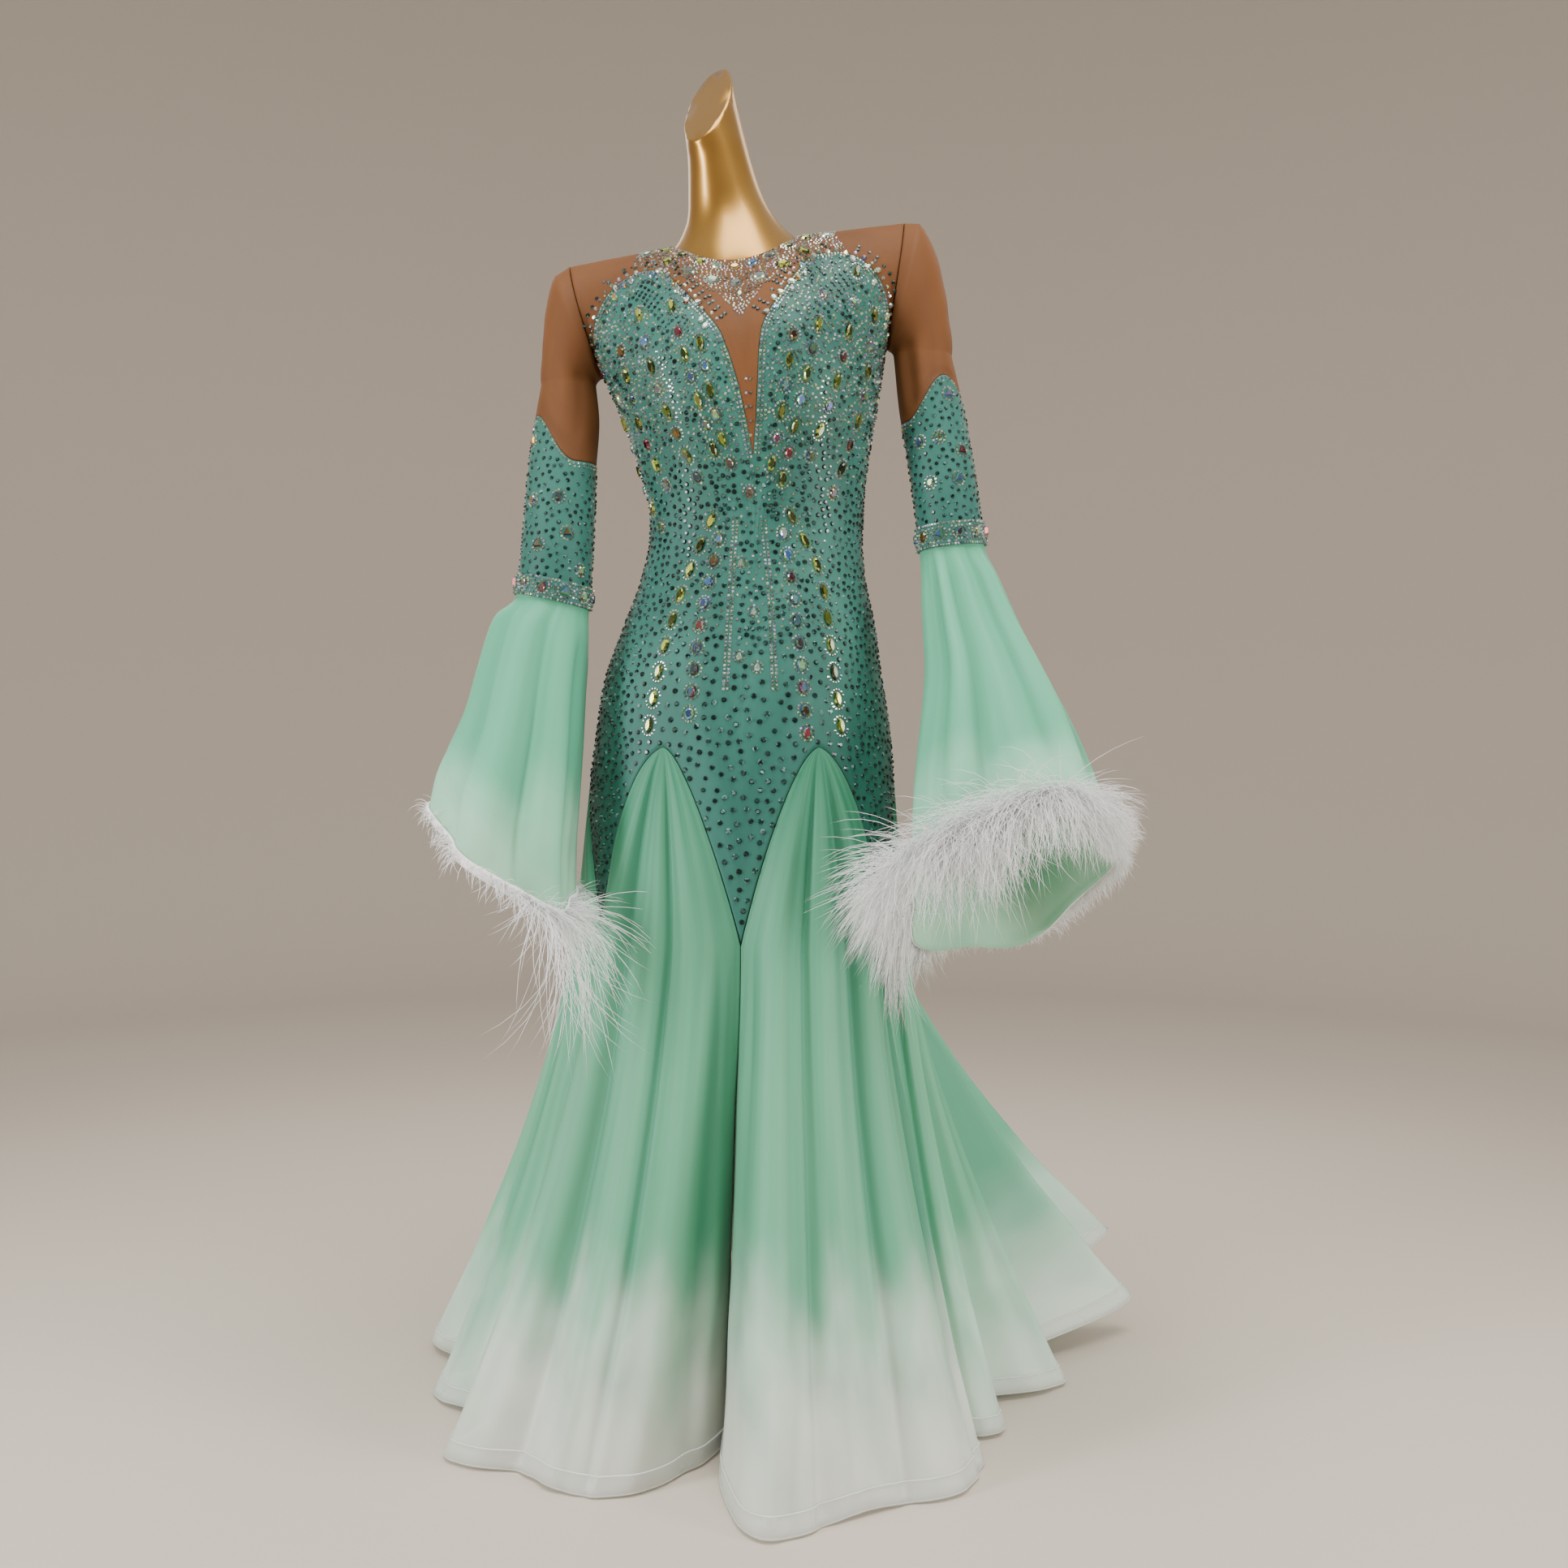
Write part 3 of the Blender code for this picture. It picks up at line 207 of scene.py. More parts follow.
# top edge of the teal lower sleeve: its level, and its peak's height and direction round the arm
LowerEdge = namedtuple("LowerEdge", "level peak peak_angle")
LOWER_EDGE = {"left": LowerEdge(1.105, 0.055, 30.0), "right": LowerEdge(1.152, 0.052, 60.0)}

BELL_COLUMNS = ARM_COLUMNS + " wave"
BELL = {
    "left": Table(BELL_COLUMNS, [
        (0.650, -0.266, SPINE_Y - 0.088, 0.0770, 0.0760, -0.72, 0.25, 0.09),
        (0.700, -0.264, SPINE_Y - 0.080, 0.0740, 0.0730, -0.60, 0.18, 0.06),
        (0.750, -0.256, SPINE_Y - 0.071, 0.0690, 0.0680, -0.48, 0.12, 0.04),
        (0.800, -0.247, SPINE_Y - 0.062, 0.0630, 0.0620, -0.36, 0.06, 0.02),
        (0.855, -0.240, SPINE_Y - 0.052, 0.0580, 0.0560, -0.30, 0.0, 0.0),
        (0.915, -0.230, SPINE_Y - 0.041, 0.0520, 0.0500, -0.25, 0.0, 0.0),
        (0.943, -0.219, SPINE_Y - 0.036, 0.0412, 0.0412, -0.22, 0.0, 0.0),
        (0.957, -0.218, SPINE_Y - 0.034, 0.0410, 0.0410, -0.22, 0.0, 0.0)]),
    "right": Table(BELL_COLUMNS, [
        (0.630, 0.296, SPINE_Y - 0.092, 0.1120, 0.1030, 0.25, -0.85, 0.08),
        (0.680, 0.292, SPINE_Y - 0.087, 0.1060, 0.0960, 0.22, -0.76, 0.06),
        (0.740, 0.286, SPINE_Y - 0.079, 0.0960, 0.0870, 0.20, -0.63, 0.04),
        (0.800, 0.280, SPINE_Y - 0.071, 0.0820, 0.0750, 0.15, -0.48, 0.02),
        (0.860, 0.271, SPINE_Y - 0.061, 0.0650, 0.0620, 0.12, -0.33, 0.0),
        (0.920, 0.257, SPINE_Y - 0.049, 0.0520, 0.0500, 0.10, -0.18, 0.0),
        (0.970, 0.246, SPINE_Y - 0.039, 0.0430, 0.0420, 0.10, -0.06, 0.0),
        (1.004, 0.238, SPINE_Y - 0.032, 0.0370, 0.0372, 0.10, 0.0, 0.0),
        (1.020, 0.237, SPINE_Y - 0.030, 0.0366, 0.0370, 0.10, 0.0, 0.0)])}
BELL_TOP = {"left": 0.9567, "right": 1.0197}
BELL_WAVES = 5


# ---------------------------------------------------------------- small helpers
def lerp(a, b, t):
    return a + (b - a) * t


def smooth(t):
    t = min(max(t, 0.0), 1.0)
    return t * t * (3.0 - 2.0 * t)


def bell_curve(value):
    return exp(-0.5 * value * value)


def side_sign(side):
    return -1.0 if side == "left" else 1.0


def turn_off(angle, centre):
    """Signed angle from a centre, the short way round."""
    return (angle - centre + 180.0) % 360.0 - 180.0


# ---------------------------------------------------------------- body surface
def body_ring(angle, level):
    """A point of the body's level ring; the angle runs from the front to the viewer's right."""
    row = BODY.at(level)
    depth = row.front if cos(radians(angle)) > 0.0 else row.back
    from_bust = abs(turn_off(angle, 0.0)) - BUST_ANGLE
    swell = BUST_SWELL * bell_curve(from_bust / BUST_SPREAD) * bell_curve((level - BUST_Z) / BUST_TALL)
    x = row.half_width * sin(radians(angle))
    y = -(depth + swell) * cos(radians(angle))
    return Vector((row.centre_x + x, SPINE_Y + y, level + x * tan(radians(row.roll))))


def godet_at(angle):
    for godet in GODETS:
        if godet.left_tip <= angle <= godet.right_tip:
            return godet
    return GODETS[-1]


def seam_share(level):
    """How far down the seam from a godet's top (0) to the points' tips (1) a level lies."""
    return min(max((APEX_Z - level) / (APEX_Z - TIP_Z), 0.0) ** (1.0 / SEAM_BOW), 1.0)


def skirt_point(angle, level):
    """The skirt's outside: the hip ring swings out to the hem's folds inside each godet."""
    angle = angle % 360.0
    on_body = body_ring(angle, level)
    godet = godet_at(angle)
    share = seam_share(level)
    left = lerp(godet.top, godet.left_tip, share)
    right = lerp(godet.top, godet.right_tip, share)
    if level >= APEX_Z or angle < left or angle > right:
        return on_body
    across = 2.0 * (angle - left) / (right - left) - 1.0
    hem = HEM.at(lerp(godet.left_hem, godet.right_hem, 0.5 * (across + 1.0)))
    fall = min((APEX_Z - level) / (APEX_Z - hem.lift), 1.0)
    held = smooth((level - TIP_Z + LOOSEN) / LOOSEN)
    swing = fall ** FLARE * (1.0 - held * across ** 6)
    out = radians(hem.angle)
    at_hem = Vector((hem.radius * sin(out), SPINE_Y - hem.radius * cos(out), level))
    return on_body.lerp(at_hem, swing)


def neck_edge(place, curve):
    """Neckline point; the place runs from -1 at the viewer's left to 1 at the right."""
    point = NECK_LEFT.lerp(NECK_RIGHT, 0.5 * (place + 1.0))
    point.y += curve.reach * (1.0 - abs(place) ** 2.5)
    point.z += curve.rise * (1.0 - place * place)
    return point


NECK_PLACE = 0.431         # column that carries the neckline's ends


def top_edge(place, face):
    """Neckline in the middle, shoulder seam beside it."""
    if abs(place) <= NECK_PLACE:
        return neck_edge(place / NECK_PLACE, NECK_FRONT if face == "front" else NECK_BACK)
    neck, shoulder = (NECK_LEFT, SHOULDER_LEFT) if place < 0.0 else (NECK_RIGHT, SHOULDER_RIGHT)
    return neck.lerp(shoulder, (abs(place) - NECK_PLACE) / (1.0 - NECK_PLACE))


def face_angle(place, level, face):
    share = min(max((level - APEX_Z) / (ARMPIT_Z - APEX_Z), 0.0), 1.0)
    side = lerp(HIP_SIDE, ARMPIT_SIDE, share)
    return place * side if face == "front" else 180.0 - place * (180.0 - side)


def body_point(place, level, face):
    """Outside of the bodice and yoke; place -1 to 1 across a face, level up to the shoulder seam."""
    if level <= APEX_Z:
        return skirt_point(face_angle(place, level, face), level)
    if level <= ARMPIT_Z:
        return body_ring(face_angle(place, level, face), level)
    t = (level - ARMPIT_Z) / TOP_RISE
    start = body_ring(face_angle(place, ARMPIT_Z, face), ARMPIT_Z)
    below = body_ring(face_angle(place, ARMPIT_Z, face), ARMPIT_Z - 0.004)
    end = top_edge(place, face)
    forward = -1.0 if face == "front" else 1.0
    rise = (start - below) / 0.004 * ((end.z - start.z) / 3.0)
    first = start + rise + Vector((0.0, ARMHOLE_SWELL[face] * abs(place) ** 5, 0.0))
    over = smooth(abs(place) / NECK_PLACE)
    last = end + Vector((0.0, forward * lerp(0.016, 0.050, over), lerp(-0.030, -0.006, over)))
    return (start * (1 - t) ** 3 + first * 3 * t * (1 - t) ** 2 + last * 3 * t * t * (1 - t) + end * t ** 3)


def surface_normal(surface, u, v, step_u, step_v, u_range, v_range):
    """Normal of a surface function by small differences kept inside its range."""
    u0, u1 = max(u - step_u, u_range[0]), min(u + step_u, u_range[1])
    v0, v1 = max(v - step_v, v_range[0]), min(v + step_v, v_range[1])
    across = surface(u1, v) - surface(u0, v)
    up = surface(u, v1) - surface(u, v0)
    return across.cross(up).normalized()


def face_normal(place, level, face):
    turned = 1.0 if face == "front" else -1.0
    return turned * surface_normal(lambda u, v: body_point(u, v, face), place, level, 0.01, 0.002,
                                   (-1.0, 1.0), (0.0, TOP_LEVEL))


def body_normal(place, level, face):
    """Shared by front and back where they meet, at the side seams and on the shoulders."""
    normal = face_normal(place, level, face)
    at_side = abs(place) > 0.999 and level <= ARMPIT_Z + 0.001
    at_top = level > TOP_LEVEL - 0.001 and abs(place) >= NECK_PLACE - 0.001
    if at_side or at_top:
        other = "back" if face == "front" else "front"
        normal = (normal + face_normal(place, level, other)).normalized()
    return normal


# ---------------------------------------------------------------- materials
def add_node(tree, kind, inputs=None, **settings):
    """One shader node; its inputs are given by name or number, as a value or as another node's output."""
    made = tree.nodes.new(kind)
    for name, value in settings.items():
        setattr(made, name, value)
    for name, value in (inputs or {}).items():
        if isinstance(value, bpy.types.NodeSocket):
            tree.links.new(value, made.inputs[name])
        else:
            made.inputs[name].default_value = value
    return made


def shader_group(name, inputs, outputs):
    tree = bpy.data.node_groups.new(name, "ShaderNodeTree")
    for label, kind, value in inputs:
        socket = tree.interface.new_socket(label, in_out="INPUT", socket_type=kind)
        if value is not None:
            socket.default_value = value
    for label, kind in outputs:
        tree.interface.new_socket(label, in_out="OUTPUT", socket_type=kind)
    return tree, tree.nodes.new("NodeGroupInput").outputs, tree.nodes.new("NodeGroupOutput").inputs


def math(tree, operation, *values):
    return add_node(tree, "ShaderNodeMath", dict(enumerate(values)), operation=operation).outputs[0]


def stretched(tree, vector, scale):
    return add_node(tree, "ShaderNodeVectorMath", {0: vector, 1: scale}, operation="MULTIPLY").outputs[0]


def mixed(tree, share, first, second):
    inputs = {0: share, 6: first, 7: second}
    return add_node(tree, "ShaderNodeMix", inputs, data_type="RGBA").outputs[2]


def two_tone(tree, share, dark, light):
    return mixed(tree, share, (*dark, 1.0), (*light, 1.0))


def spread(tree, value, low, high, new_low=0.0, new_high=1.0, **settings):
    inputs = {0: value, 1: low, 2: high, 3: new_low, 4: new_high}
    return add_node(tree, "ShaderNodeMapRange", inputs, **settings).outputs[0]


def texture_place(tree, kind):
    return add_node(tree, "ShaderNodeTexCoord").outputs[kind]


def own_value(tree, name):
    """A value that the mesh carries at its corners."""
    return add_node(tree, "ShaderNodeAttribute", attribute_name=name).outputs["Fac"]


def noise(tree, place, scale, detail):
    inputs = {"Vector": place, "Scale": scale, "Detail": detail}
    return add_node(tree, "ShaderNodeTexNoise", inputs).outputs["Fac"]


def upwards(tree, place):
    return add_node(tree, "ShaderNodeSeparateXYZ", {0: place}).outputs["Y"]


def make_weave_group():
    """Warp and weft threads over a place in metres, with slubs and a slow unevenness."""
    tree, given, out = shader_group(
        "thread_weave",
        [("Place", "NodeSocketVector", None), ("Thread Scale", "NodeSocketFloat", 500.0),
         ("Slub Scale", "NodeSocketFloat", 90.0), ("Slub Amount", "NodeSocketFloat", 0.4)],
        [("Height", "NodeSocketFloat"), ("Unevenness", "NodeSocketFloat")])
    waves = []
    for direction in ("X", "Y"):
        wave = add_node(tree, "ShaderNodeTexWave",
                        {"Vector": given["Place"], "Scale": given["Thread Scale"], "Distortion": 0.6,
                         "Detail": 1.0}, wave_type="BANDS", bands_direction=direction)
        waves.append(wave.outputs["Fac"])
    threads = math(tree, "MAXIMUM", *waves)
    slubs = [noise(tree, stretched(tree, given["Place"], scale), given["Slub Scale"], 1.0)
             for scale in ((1.0, 0.06, 1.0), (0.06, 1.0, 1.0))]
    slub = math(tree, "MULTIPLY", math(tree, "ADD", *slubs), given["Slub Amount"])
    tree.links.new(noise(tree, given["Place"], 7.0, 2.0), out["Unevenness"])
    tree.links.new(math(tree, "ADD", threads, slub), out["Height"])
    return tree


def make_facet_group():
    """Colour of a cut stone with painted glints: every facet takes its own place between four colours, and
    its own painted brightness, for the light that its facets catch.
    """
    tree, given, out = shader_group(
        "stone_glints",
        [("Tint", "NodeSocketFloat", 0.5), ("First", "NodeSocketColor", (1, 1, 1, 1)),
         ("Second", "NodeSocketColor", (1, 1, 1, 1)), ("Third", "NodeSocketColor", (1, 1, 1, 1)),
         ("Fourth", "NodeSocketColor", (1, 1, 1, 1)), ("Darkest", "NodeSocketFloat", 0.3)],
        [("Color", "NodeSocketColor")])
    facing = add_node(tree, "ShaderNodeNewGeometry").outputs["True Normal"]
    facet = add_node(tree, "ShaderNodeVectorMath", {0: facing, 1: (0.21, 0.21, 0.21)},
                     operation="SNAP").outputs[0]
    by_facet = add_node(tree, "ShaderNodeTexWhiteNoise", {"Vector": facet, "W": given["Tint"]},
                        noise_dimensions="4D").outputs
    by_stone = add_node(tree, "ShaderNodeTexWhiteNoise", {"W": given["Tint"]}, noise_dimensions="1D").outputs
    facet_shares = add_node(tree, "ShaderNodeSeparateColor", {0: by_facet["Color"]}).outputs
    stone_shares = add_node(tree, "ShaderNodeSeparateColor", {0: by_stone["Color"]}).outputs
    light = mixed(tree, spread(tree, stone_shares[0], 0.35, 0.65), given["First"], given["Second"])
    rich = mixed(tree, spread(tree, facet_shares[1], 0.3, 0.7), given["Third"], given["Fourth"])
    share = spread(tree, math(tree, "ADD", stone_shares[1], facet_shares[0]), 0.85, 1.15)
    both = mixed(tree, share, light, rich)
    # painted glint: each facet lighter or darker by its direction
    depth = spread(tree, by_facet["Value"], 0.1, 0.7, given["Darkest"], 1.0)
    # painted glint: each stone lighter or darker as a whole
    gleam = spread(tree, stone_shares[2], 0.1, 0.85, 0.25, 1.15)
    tree.links.new(stretched(tree, stretched(tree, both, depth), gleam), out["Color"])
    return tree


def new_material(name, roughness, **plain):
    """Material with its Principled shader; plain values are set on the shader's own sockets."""
    made = bpy.data.materials.new(name)
    made.use_nodes = True
    tree = made.node_tree
    shader = tree.nodes["Principled BSDF"]
    shader.inputs["Roughness"].default_value = roughness
    for label, value in plain.items():
        shader.inputs[label.replace("_", " ")].default_value = value
    return made, tree, shader.inputs


def bump(tree, height, strength, distance):
    inputs = {"Height": height, "Strength": strength, "Distance": distance}
    return add_node(tree, "ShaderNodeBump", inputs).outputs["Normal"]


def weave(tree, thread_scale, slub_scale, slub_amount):
    place = texture_place(tree, "UV")
    inputs = {"Place": place, "Thread Scale": thread_scale, "Slub Scale": slub_scale,
              "Slub Amount": slub_amount}
    made = add_node(tree, "ShaderNodeGroup", inputs, node_tree=WEAVE).outputs
    return made["Height"], made["Unevenness"], place


def cloth_material(name, dark, light, roughness, threads, depth, **plain):
    """Opaque cloth: two close colours mixed by its unevenness, and its threads as a fine bump."""
    made, tree, shader = new_material(name, roughness, **plain)
    height, uneven, _ = weave(tree, threads, 60.0, 0.5)
    tree.links.new(two_tone(tree, spread(tree, uneven, 0.30, 0.70), dark, light), shader["Base Color"])
    tree.links.new(spread(tree, uneven, 0.2, 0.8, roughness - 0.05, roughness + 0.07), shader["Roughness"])
    tree.links.new(bump(tree, height, depth, 0.0003), shader["Normal"])
    return made


def make_sheer_group():
    """Sheer cloth: painted shade in its fold valleys and at its top, painted light on its ridges and painted
    sheen in long stripes; paler and thinner towards its hem.
    """
    tree, given, out = shader_group(
        "sheer_ombre",
        [("Mint", "NodeSocketColor", (1, 1, 1, 1)), ("Painted Shade", "NodeSocketColor", (1, 1, 1, 1)),
         ("Pale", "NodeSocketColor", (1, 1, 1, 1)), ("Fade From", "NodeSocketFloat", 0.0),
         ("Fade To", "NodeSocketFloat", 0.2), ("Thinnest", "NodeSocketFloat", 0.4)],
        [("Color", "NodeSocketColor"), ("Cover", "NodeSocketFloat"), ("Normal", "NodeSocketVector")])
    height, uneven, place = weave(tree, 620.0, 22.0, 0.9)
    up = upwards(tree, place)
    painted_sheen_streak = noise(tree, stretched(tree, place, (1.0, 0.10, 1.0)), 16.0, 2.0)
    ragged = math(tree, "ADD", up, spread(tree, uneven, 0.25, 0.75, -0.055, 0.055))
    to_mint = spread(tree, ragged, given["Fade From"], given["Fade To"], interpolation_type="SMOOTHSTEP")
    # painted sheen in long stripes, and painted shade in the fold valleys with painted light on the ridges,
    # read from the folds' relief
    shade = math(tree, "ADD", spread(tree, painted_sheen_streak, 0.32, 0.68, 0.0, 0.35),
                 spread(tree, own_value(tree, "relief"), -0.007, 0.005, 0.0, 0.65))
    # painted shade: darker towards the top
    shade = math(tree, "SUBTRACT", shade, spread(tree, up, 0.42, 0.80, 0.0, 0.50))
    body = mixed(tree, shade, given["Painted Shade"], given["Mint"])
    tree.links.new(mixed(tree, to_mint, given["Pale"], body), out["Color"])
    cover_top = math(tree, "MULTIPLY", given["Fade To"], SHEER_SHARE)
    tree.links.new(spread(tree, up, 0.0, cover_top, given["Thinnest"], 1.0), out["Cover"])
    tree.links.new(bump(tree, height, 0.10, 0.0004), out["Normal"])
    return tree


SHEER_SHARE = 0.55          # share of the fade's height over which the cloth lets the light through
Organza = namedtuple("Organza", "sheer close sheer_height")


def organza(name, mint, deep, pale, fade, thinnest):
    """Two materials of one cloth: the sheer hem, and the close cloth above it; deep is the colour of the
    painted shade in the folds and at the top.
    """
    pair = []
    for ending in ("_sheer", "_close"):
        made, tree, shader = new_material(name + ending, 0.48, Sheen_Weight=0.10, Sheen_Roughness=0.35,
                                          Specular_IOR_Level=0.20)
        inputs = {"Mint": (*mint, 1.0), "Painted Shade": (*deep, 1.0), "Pale": (*pale, 1.0), "Fade From": fade[0],
                  "Fade To": fade[1], "Thinnest": thinnest}
        look = add_node(tree, "ShaderNodeGroup", inputs, node_tree=SHEER).outputs
        tree.links.new(look["Color"], shader["Base Color"])
        tree.links.new(look["Normal"], shader["Normal"])
        if ending == "_sheer":
            tree.links.new(look["Cover"], shader["Alpha"])
        pair.append(made)
    return Organza(*pair, SHEER_SHARE * fade[1])


def stone_material(name, colours, darkest, roughness, **plain):
    made, tree, shader = new_material(name, roughness, **plain)
    inputs = {"Tint": own_value(tree, "tint"), "Darkest": darkest}
    for label, colour in zip(("First", "Second", "Third", "Fourth"), colours):
        inputs[label] = (*colour, 1.0)
    facets = add_node(tree, "ShaderNodeGroup", inputs, node_tree=GLINTS)
    tree.links.new(facets.outputs["Color"], shader["Base Color"])
    return made


def metal_material(name, dark, light, roughness, grain, **plain):
    """Painted or plated metal, a little uneven in colour and gloss."""
    made, tree, shader = new_material(name, roughness, **plain)
    place = texture_place(tree, "Object")
    slow = noise(tree, place, grain, 2.0)
    tree.links.new(two_tone(tree, spread(tree, slow, 0.3, 0.7), dark, light), shader["Base Color"])
    tree.links.new(spread(tree, slow, 0.2, 0.8, roughness * 0.8, roughness * 1.3), shader["Roughness"])
    tree.links.new(bump(tree, noise(tree, place, grain * 30.0, 1.0), 0.04, 0.0003), shader["Normal"])
    return made


THREAD_GAP = 0.0011         # half the pitch of the braid's threads
BRAID_WIDTH = 0.021


def braid_material():
    """Stiff open braid: pale threads on the bias, sheer between them."""
    made, tree, shader = new_material("crin_braid", 0.38, Specular_IOR_Level=0.6)
    place = texture_place(tree, "UV")
    bands = []
    for direction in ((1.0, 1.0, 0.0), (1.0, -1.0, 0.0)):
        lean = add_node(tree, "ShaderNodeVectorMath", {0: place, 1: direction}, operation="DOT_PRODUCT")
        bands.append(math(tree, "PINGPONG", lean.outputs["Value"], THREAD_GAP))
    cover = spread(tree, math(tree, "MINIMUM", *bands), 0.0, THREAD_GAP, 0.34, 0.03)
    rim = math(tree, "PINGPONG", upwards(tree, place), 0.5 * BRAID_WIDTH)
    cover = math(tree, "MAXIMUM", cover, spread(tree, rim, 0.0006, 0.0018, 0.85, 0.0))
    share = spread(tree, noise(tree, place, 8.0, 2.0), 0.3, 0.7)
    tree.links.new(two_tone(tree, share, (0.74, 0.79, 0.75), (0.88, 0.90, 0.86)), shader["Base Color"])
    tree.links.new(cover, shader["Alpha"])
    tree.links.new(bump(tree, cover, 0.3, 0.0004), shader["Normal"])
    return made


def feather_material():
    """Ostrich barbs: white, faintly grey and mint by each barb's tint and a slow unevenness."""
    made, tree, shader = new_material("ostrich_white", 0.70, Sheen_Weight=1.0, Sheen_Roughness=0.35,
                                      Specular_IOR_Level=0.25)
    slow = spread(tree, noise(tree, texture_place(tree, "Object"), 24.0, 1.0), 0.3, 0.7)
    share = math(tree, "MULTIPLY", slow, own_value(tree, "tint"))
    tree.links.new(two_tone(tree, share, (0.98, 0.97, 0.98), (0.90, 0.93, 0.92)), shader["Base Color"])
    return made


WEAVE = make_weave_group()
GLINTS = make_facet_group()
SHEER = make_sheer_group()
TEAL = cloth_material("stretch_crepe_teal", (0.012, 0.104, 0.080), (0.035, 0.174, 0.137), 0.50, 420.0, 0.25,
                      Sheen_Weight=0.10, Sheen_Roughness=0.4, Specular_IOR_Level=0.35)
NET = cloth_material("stretch_net_skin_tone", (0.118, 0.045, 0.014), (0.180, 0.070, 0.022), 0.62, 380.0, 0.30,
                     Specular_IOR_Level=0.22)
# each organza's second colour is its painted shade, for its fold valleys and its top
SKIRT_ORGANZA = organza("organza_ombre", (0.142, 0.445, 0.275), (0.034, 0.20, 0.116), (0.96, 0.975, 0.915),
                        (-0.05, 0.28), 0.42)
SIDE_ORGANZA = organza("organza_ombre_deep", (0.17, 0.52, 0.32), (0.050, 0.28, 0.165), (0.82, 0.97, 0.86),
                       (-0.06, 0.25), 0.50)
BELL_ORGANZA = organza("organza_mint", (0.135, 0.53, 0.325), (0.042, 0.27, 0.155), (0.42, 0.78, 0.56),
                       (-0.02, 0.14), 0.60)
BRAID = braid_material()
ZIP_TAPE = cloth_material("zip_tape_teal", (0.014, 0.115, 0.088), (0.026, 0.155, 0.12), 0.55, 380.0, 0.4)
ZIP_COIL = metal_material("zip_coil_nylon", (0.012, 0.10, 0.078), (0.022, 0.14, 0.108), 0.38, 30.0)
ZIP_METAL = metal_material("zip_metal", (0.45, 0.45, 0.44), (0.60, 0.60, 0.58), 0.30, 20.0, Metallic=1.0)
GOLD = metal_material("gold_lacquer", (0.36, 0.185, 0.038), (0.48, 0.265, 0.062), 0.30, 6.0, Metallic=0.85,
                      Coat_Weight=0.35, Coat_Roughness=0.10)
STEEL = metal_material("stand_metal", (0.28, 0.28, 0.28), (0.36, 0.36, 0.35), 0.38, 12.0, Metallic=1.0)
FEATHER_WHITE = feather_material()
# the stones' colours are partly their own and partly painted glints: the brightest of each four stand for
# light that their facets catch
DARK_STONE = stone_material("stone_dark_green", ((0.002, 0.012, 0.010), (0.006, 0.034, 0.030),
                                                 (0.010, 0.050, 0.045), (0.16, 0.32, 0.30)), 0.25, 0.16)
AURORA_STONE = stone_material("stone_aurora", ((0.78, 0.88, 0.86), (0.66, 0.52, 0.86),
                                               (0.84, 0.86, 0.42), (0.06, 0.20, 0.19)), 0.25, 0.12,
                              Metallic=0.35, Coat_Weight=0.6)
OLIVE_STONE = stone_material("stone_olive", ((0.030, 0.050, 0.004), (0.130, 0.180, 0.012),
                                             (0.80, 0.86, 0.14), (0.015, 0.040, 0.015)), 0.20, 0.08,
                             Metallic=0.45, Coat_Weight=0.6)
FIRE_STONE = stone_material("stone_fire", ((0.85, 0.10, 0.20), (0.95, 0.50, 0.08), (0.14, 0.30, 0.90),
                                           (0.40, 0.85, 0.30)), 0.10, 0.12, Metallic=0.65, Coat_Weight=0.15)
CLEAR_STONE = stone_material("stone_clear", ((0.88, 0.95, 0.90), (0.62, 0.72, 0.62), (0.84, 0.88, 0.52),
                                             (0.16, 0.32, 0.28)), 0.30, 0.06, Metallic=0.50, Coat_Weight=0.6)


# ---------------------------------------------------------------- cloth from grids
ROOT = "root"


def laid_grid(across_steps, up_steps, place):
    """Grid laid on a surface; place gives the point for a share across and up, and both are kept."""
    mesh = bmesh.new()
    mesh.loops.layers.uv.new("UVMap")
    bmesh.ops.create_grid(mesh, x_segments=across_steps, y_segments=up_steps, size=0.5, calc_uvs=True)
    across = mesh.verts.layers.float.new("across")
    up = mesh.verts.layers.float.new("up")
    for vert in mesh.verts:
        vert[across], vert[up] = vert.co.x + 0.5, vert.co.y + 0.5
        vert.co = place(vert[across], vert[up])
    return mesh


def size_uvs(mesh, width, height):
    """UVs in metres of cloth, so that threads keep one size."""
    layer = mesh.loops.layers.uv.active
    for face in mesh.faces:
        for loop in face.loops:
            loop[layer].uv = (loop[layer].uv.x * width, loop[layer].uv.y * height)


def press(mesh, amount):
    """Soft folds: every corner moves along its normal by amount(across, up)."""
    across, up = mesh.verts.layers.float["across"], mesh.verts.layers.float["up"]
    # the relief stays on the mesh: the organza reads it to paint shade in the fold valleys and light on the
    # ridges
    relief = mesh.verts.layers.float.new("relief")
    mesh.normal_update()
    for vert in mesh.verts:
        vert[relief] = amount(vert[across], vert[up])
        vert.co += vert.normal * vert[relief]


def smooth_mesh(name, mesh):
    data = bpy.data.meshes.new(name)
    mesh.to_mesh(data)
    mesh.free()
    data.shade_smooth()
    return data


def placed_object(name, data):
    made = bpy.data.objects.new(name, data)
    bpy.context.scene.collection.objects.link(made)
    return made


def placed_piece(name, data, finish, slot_name):
    """A mesh as a named piece of the one body, with its finish; its slot name is not used."""
    data.materials.append(finish)
    made = placed_object(name, data)
    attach(made, ROOT)
    return made


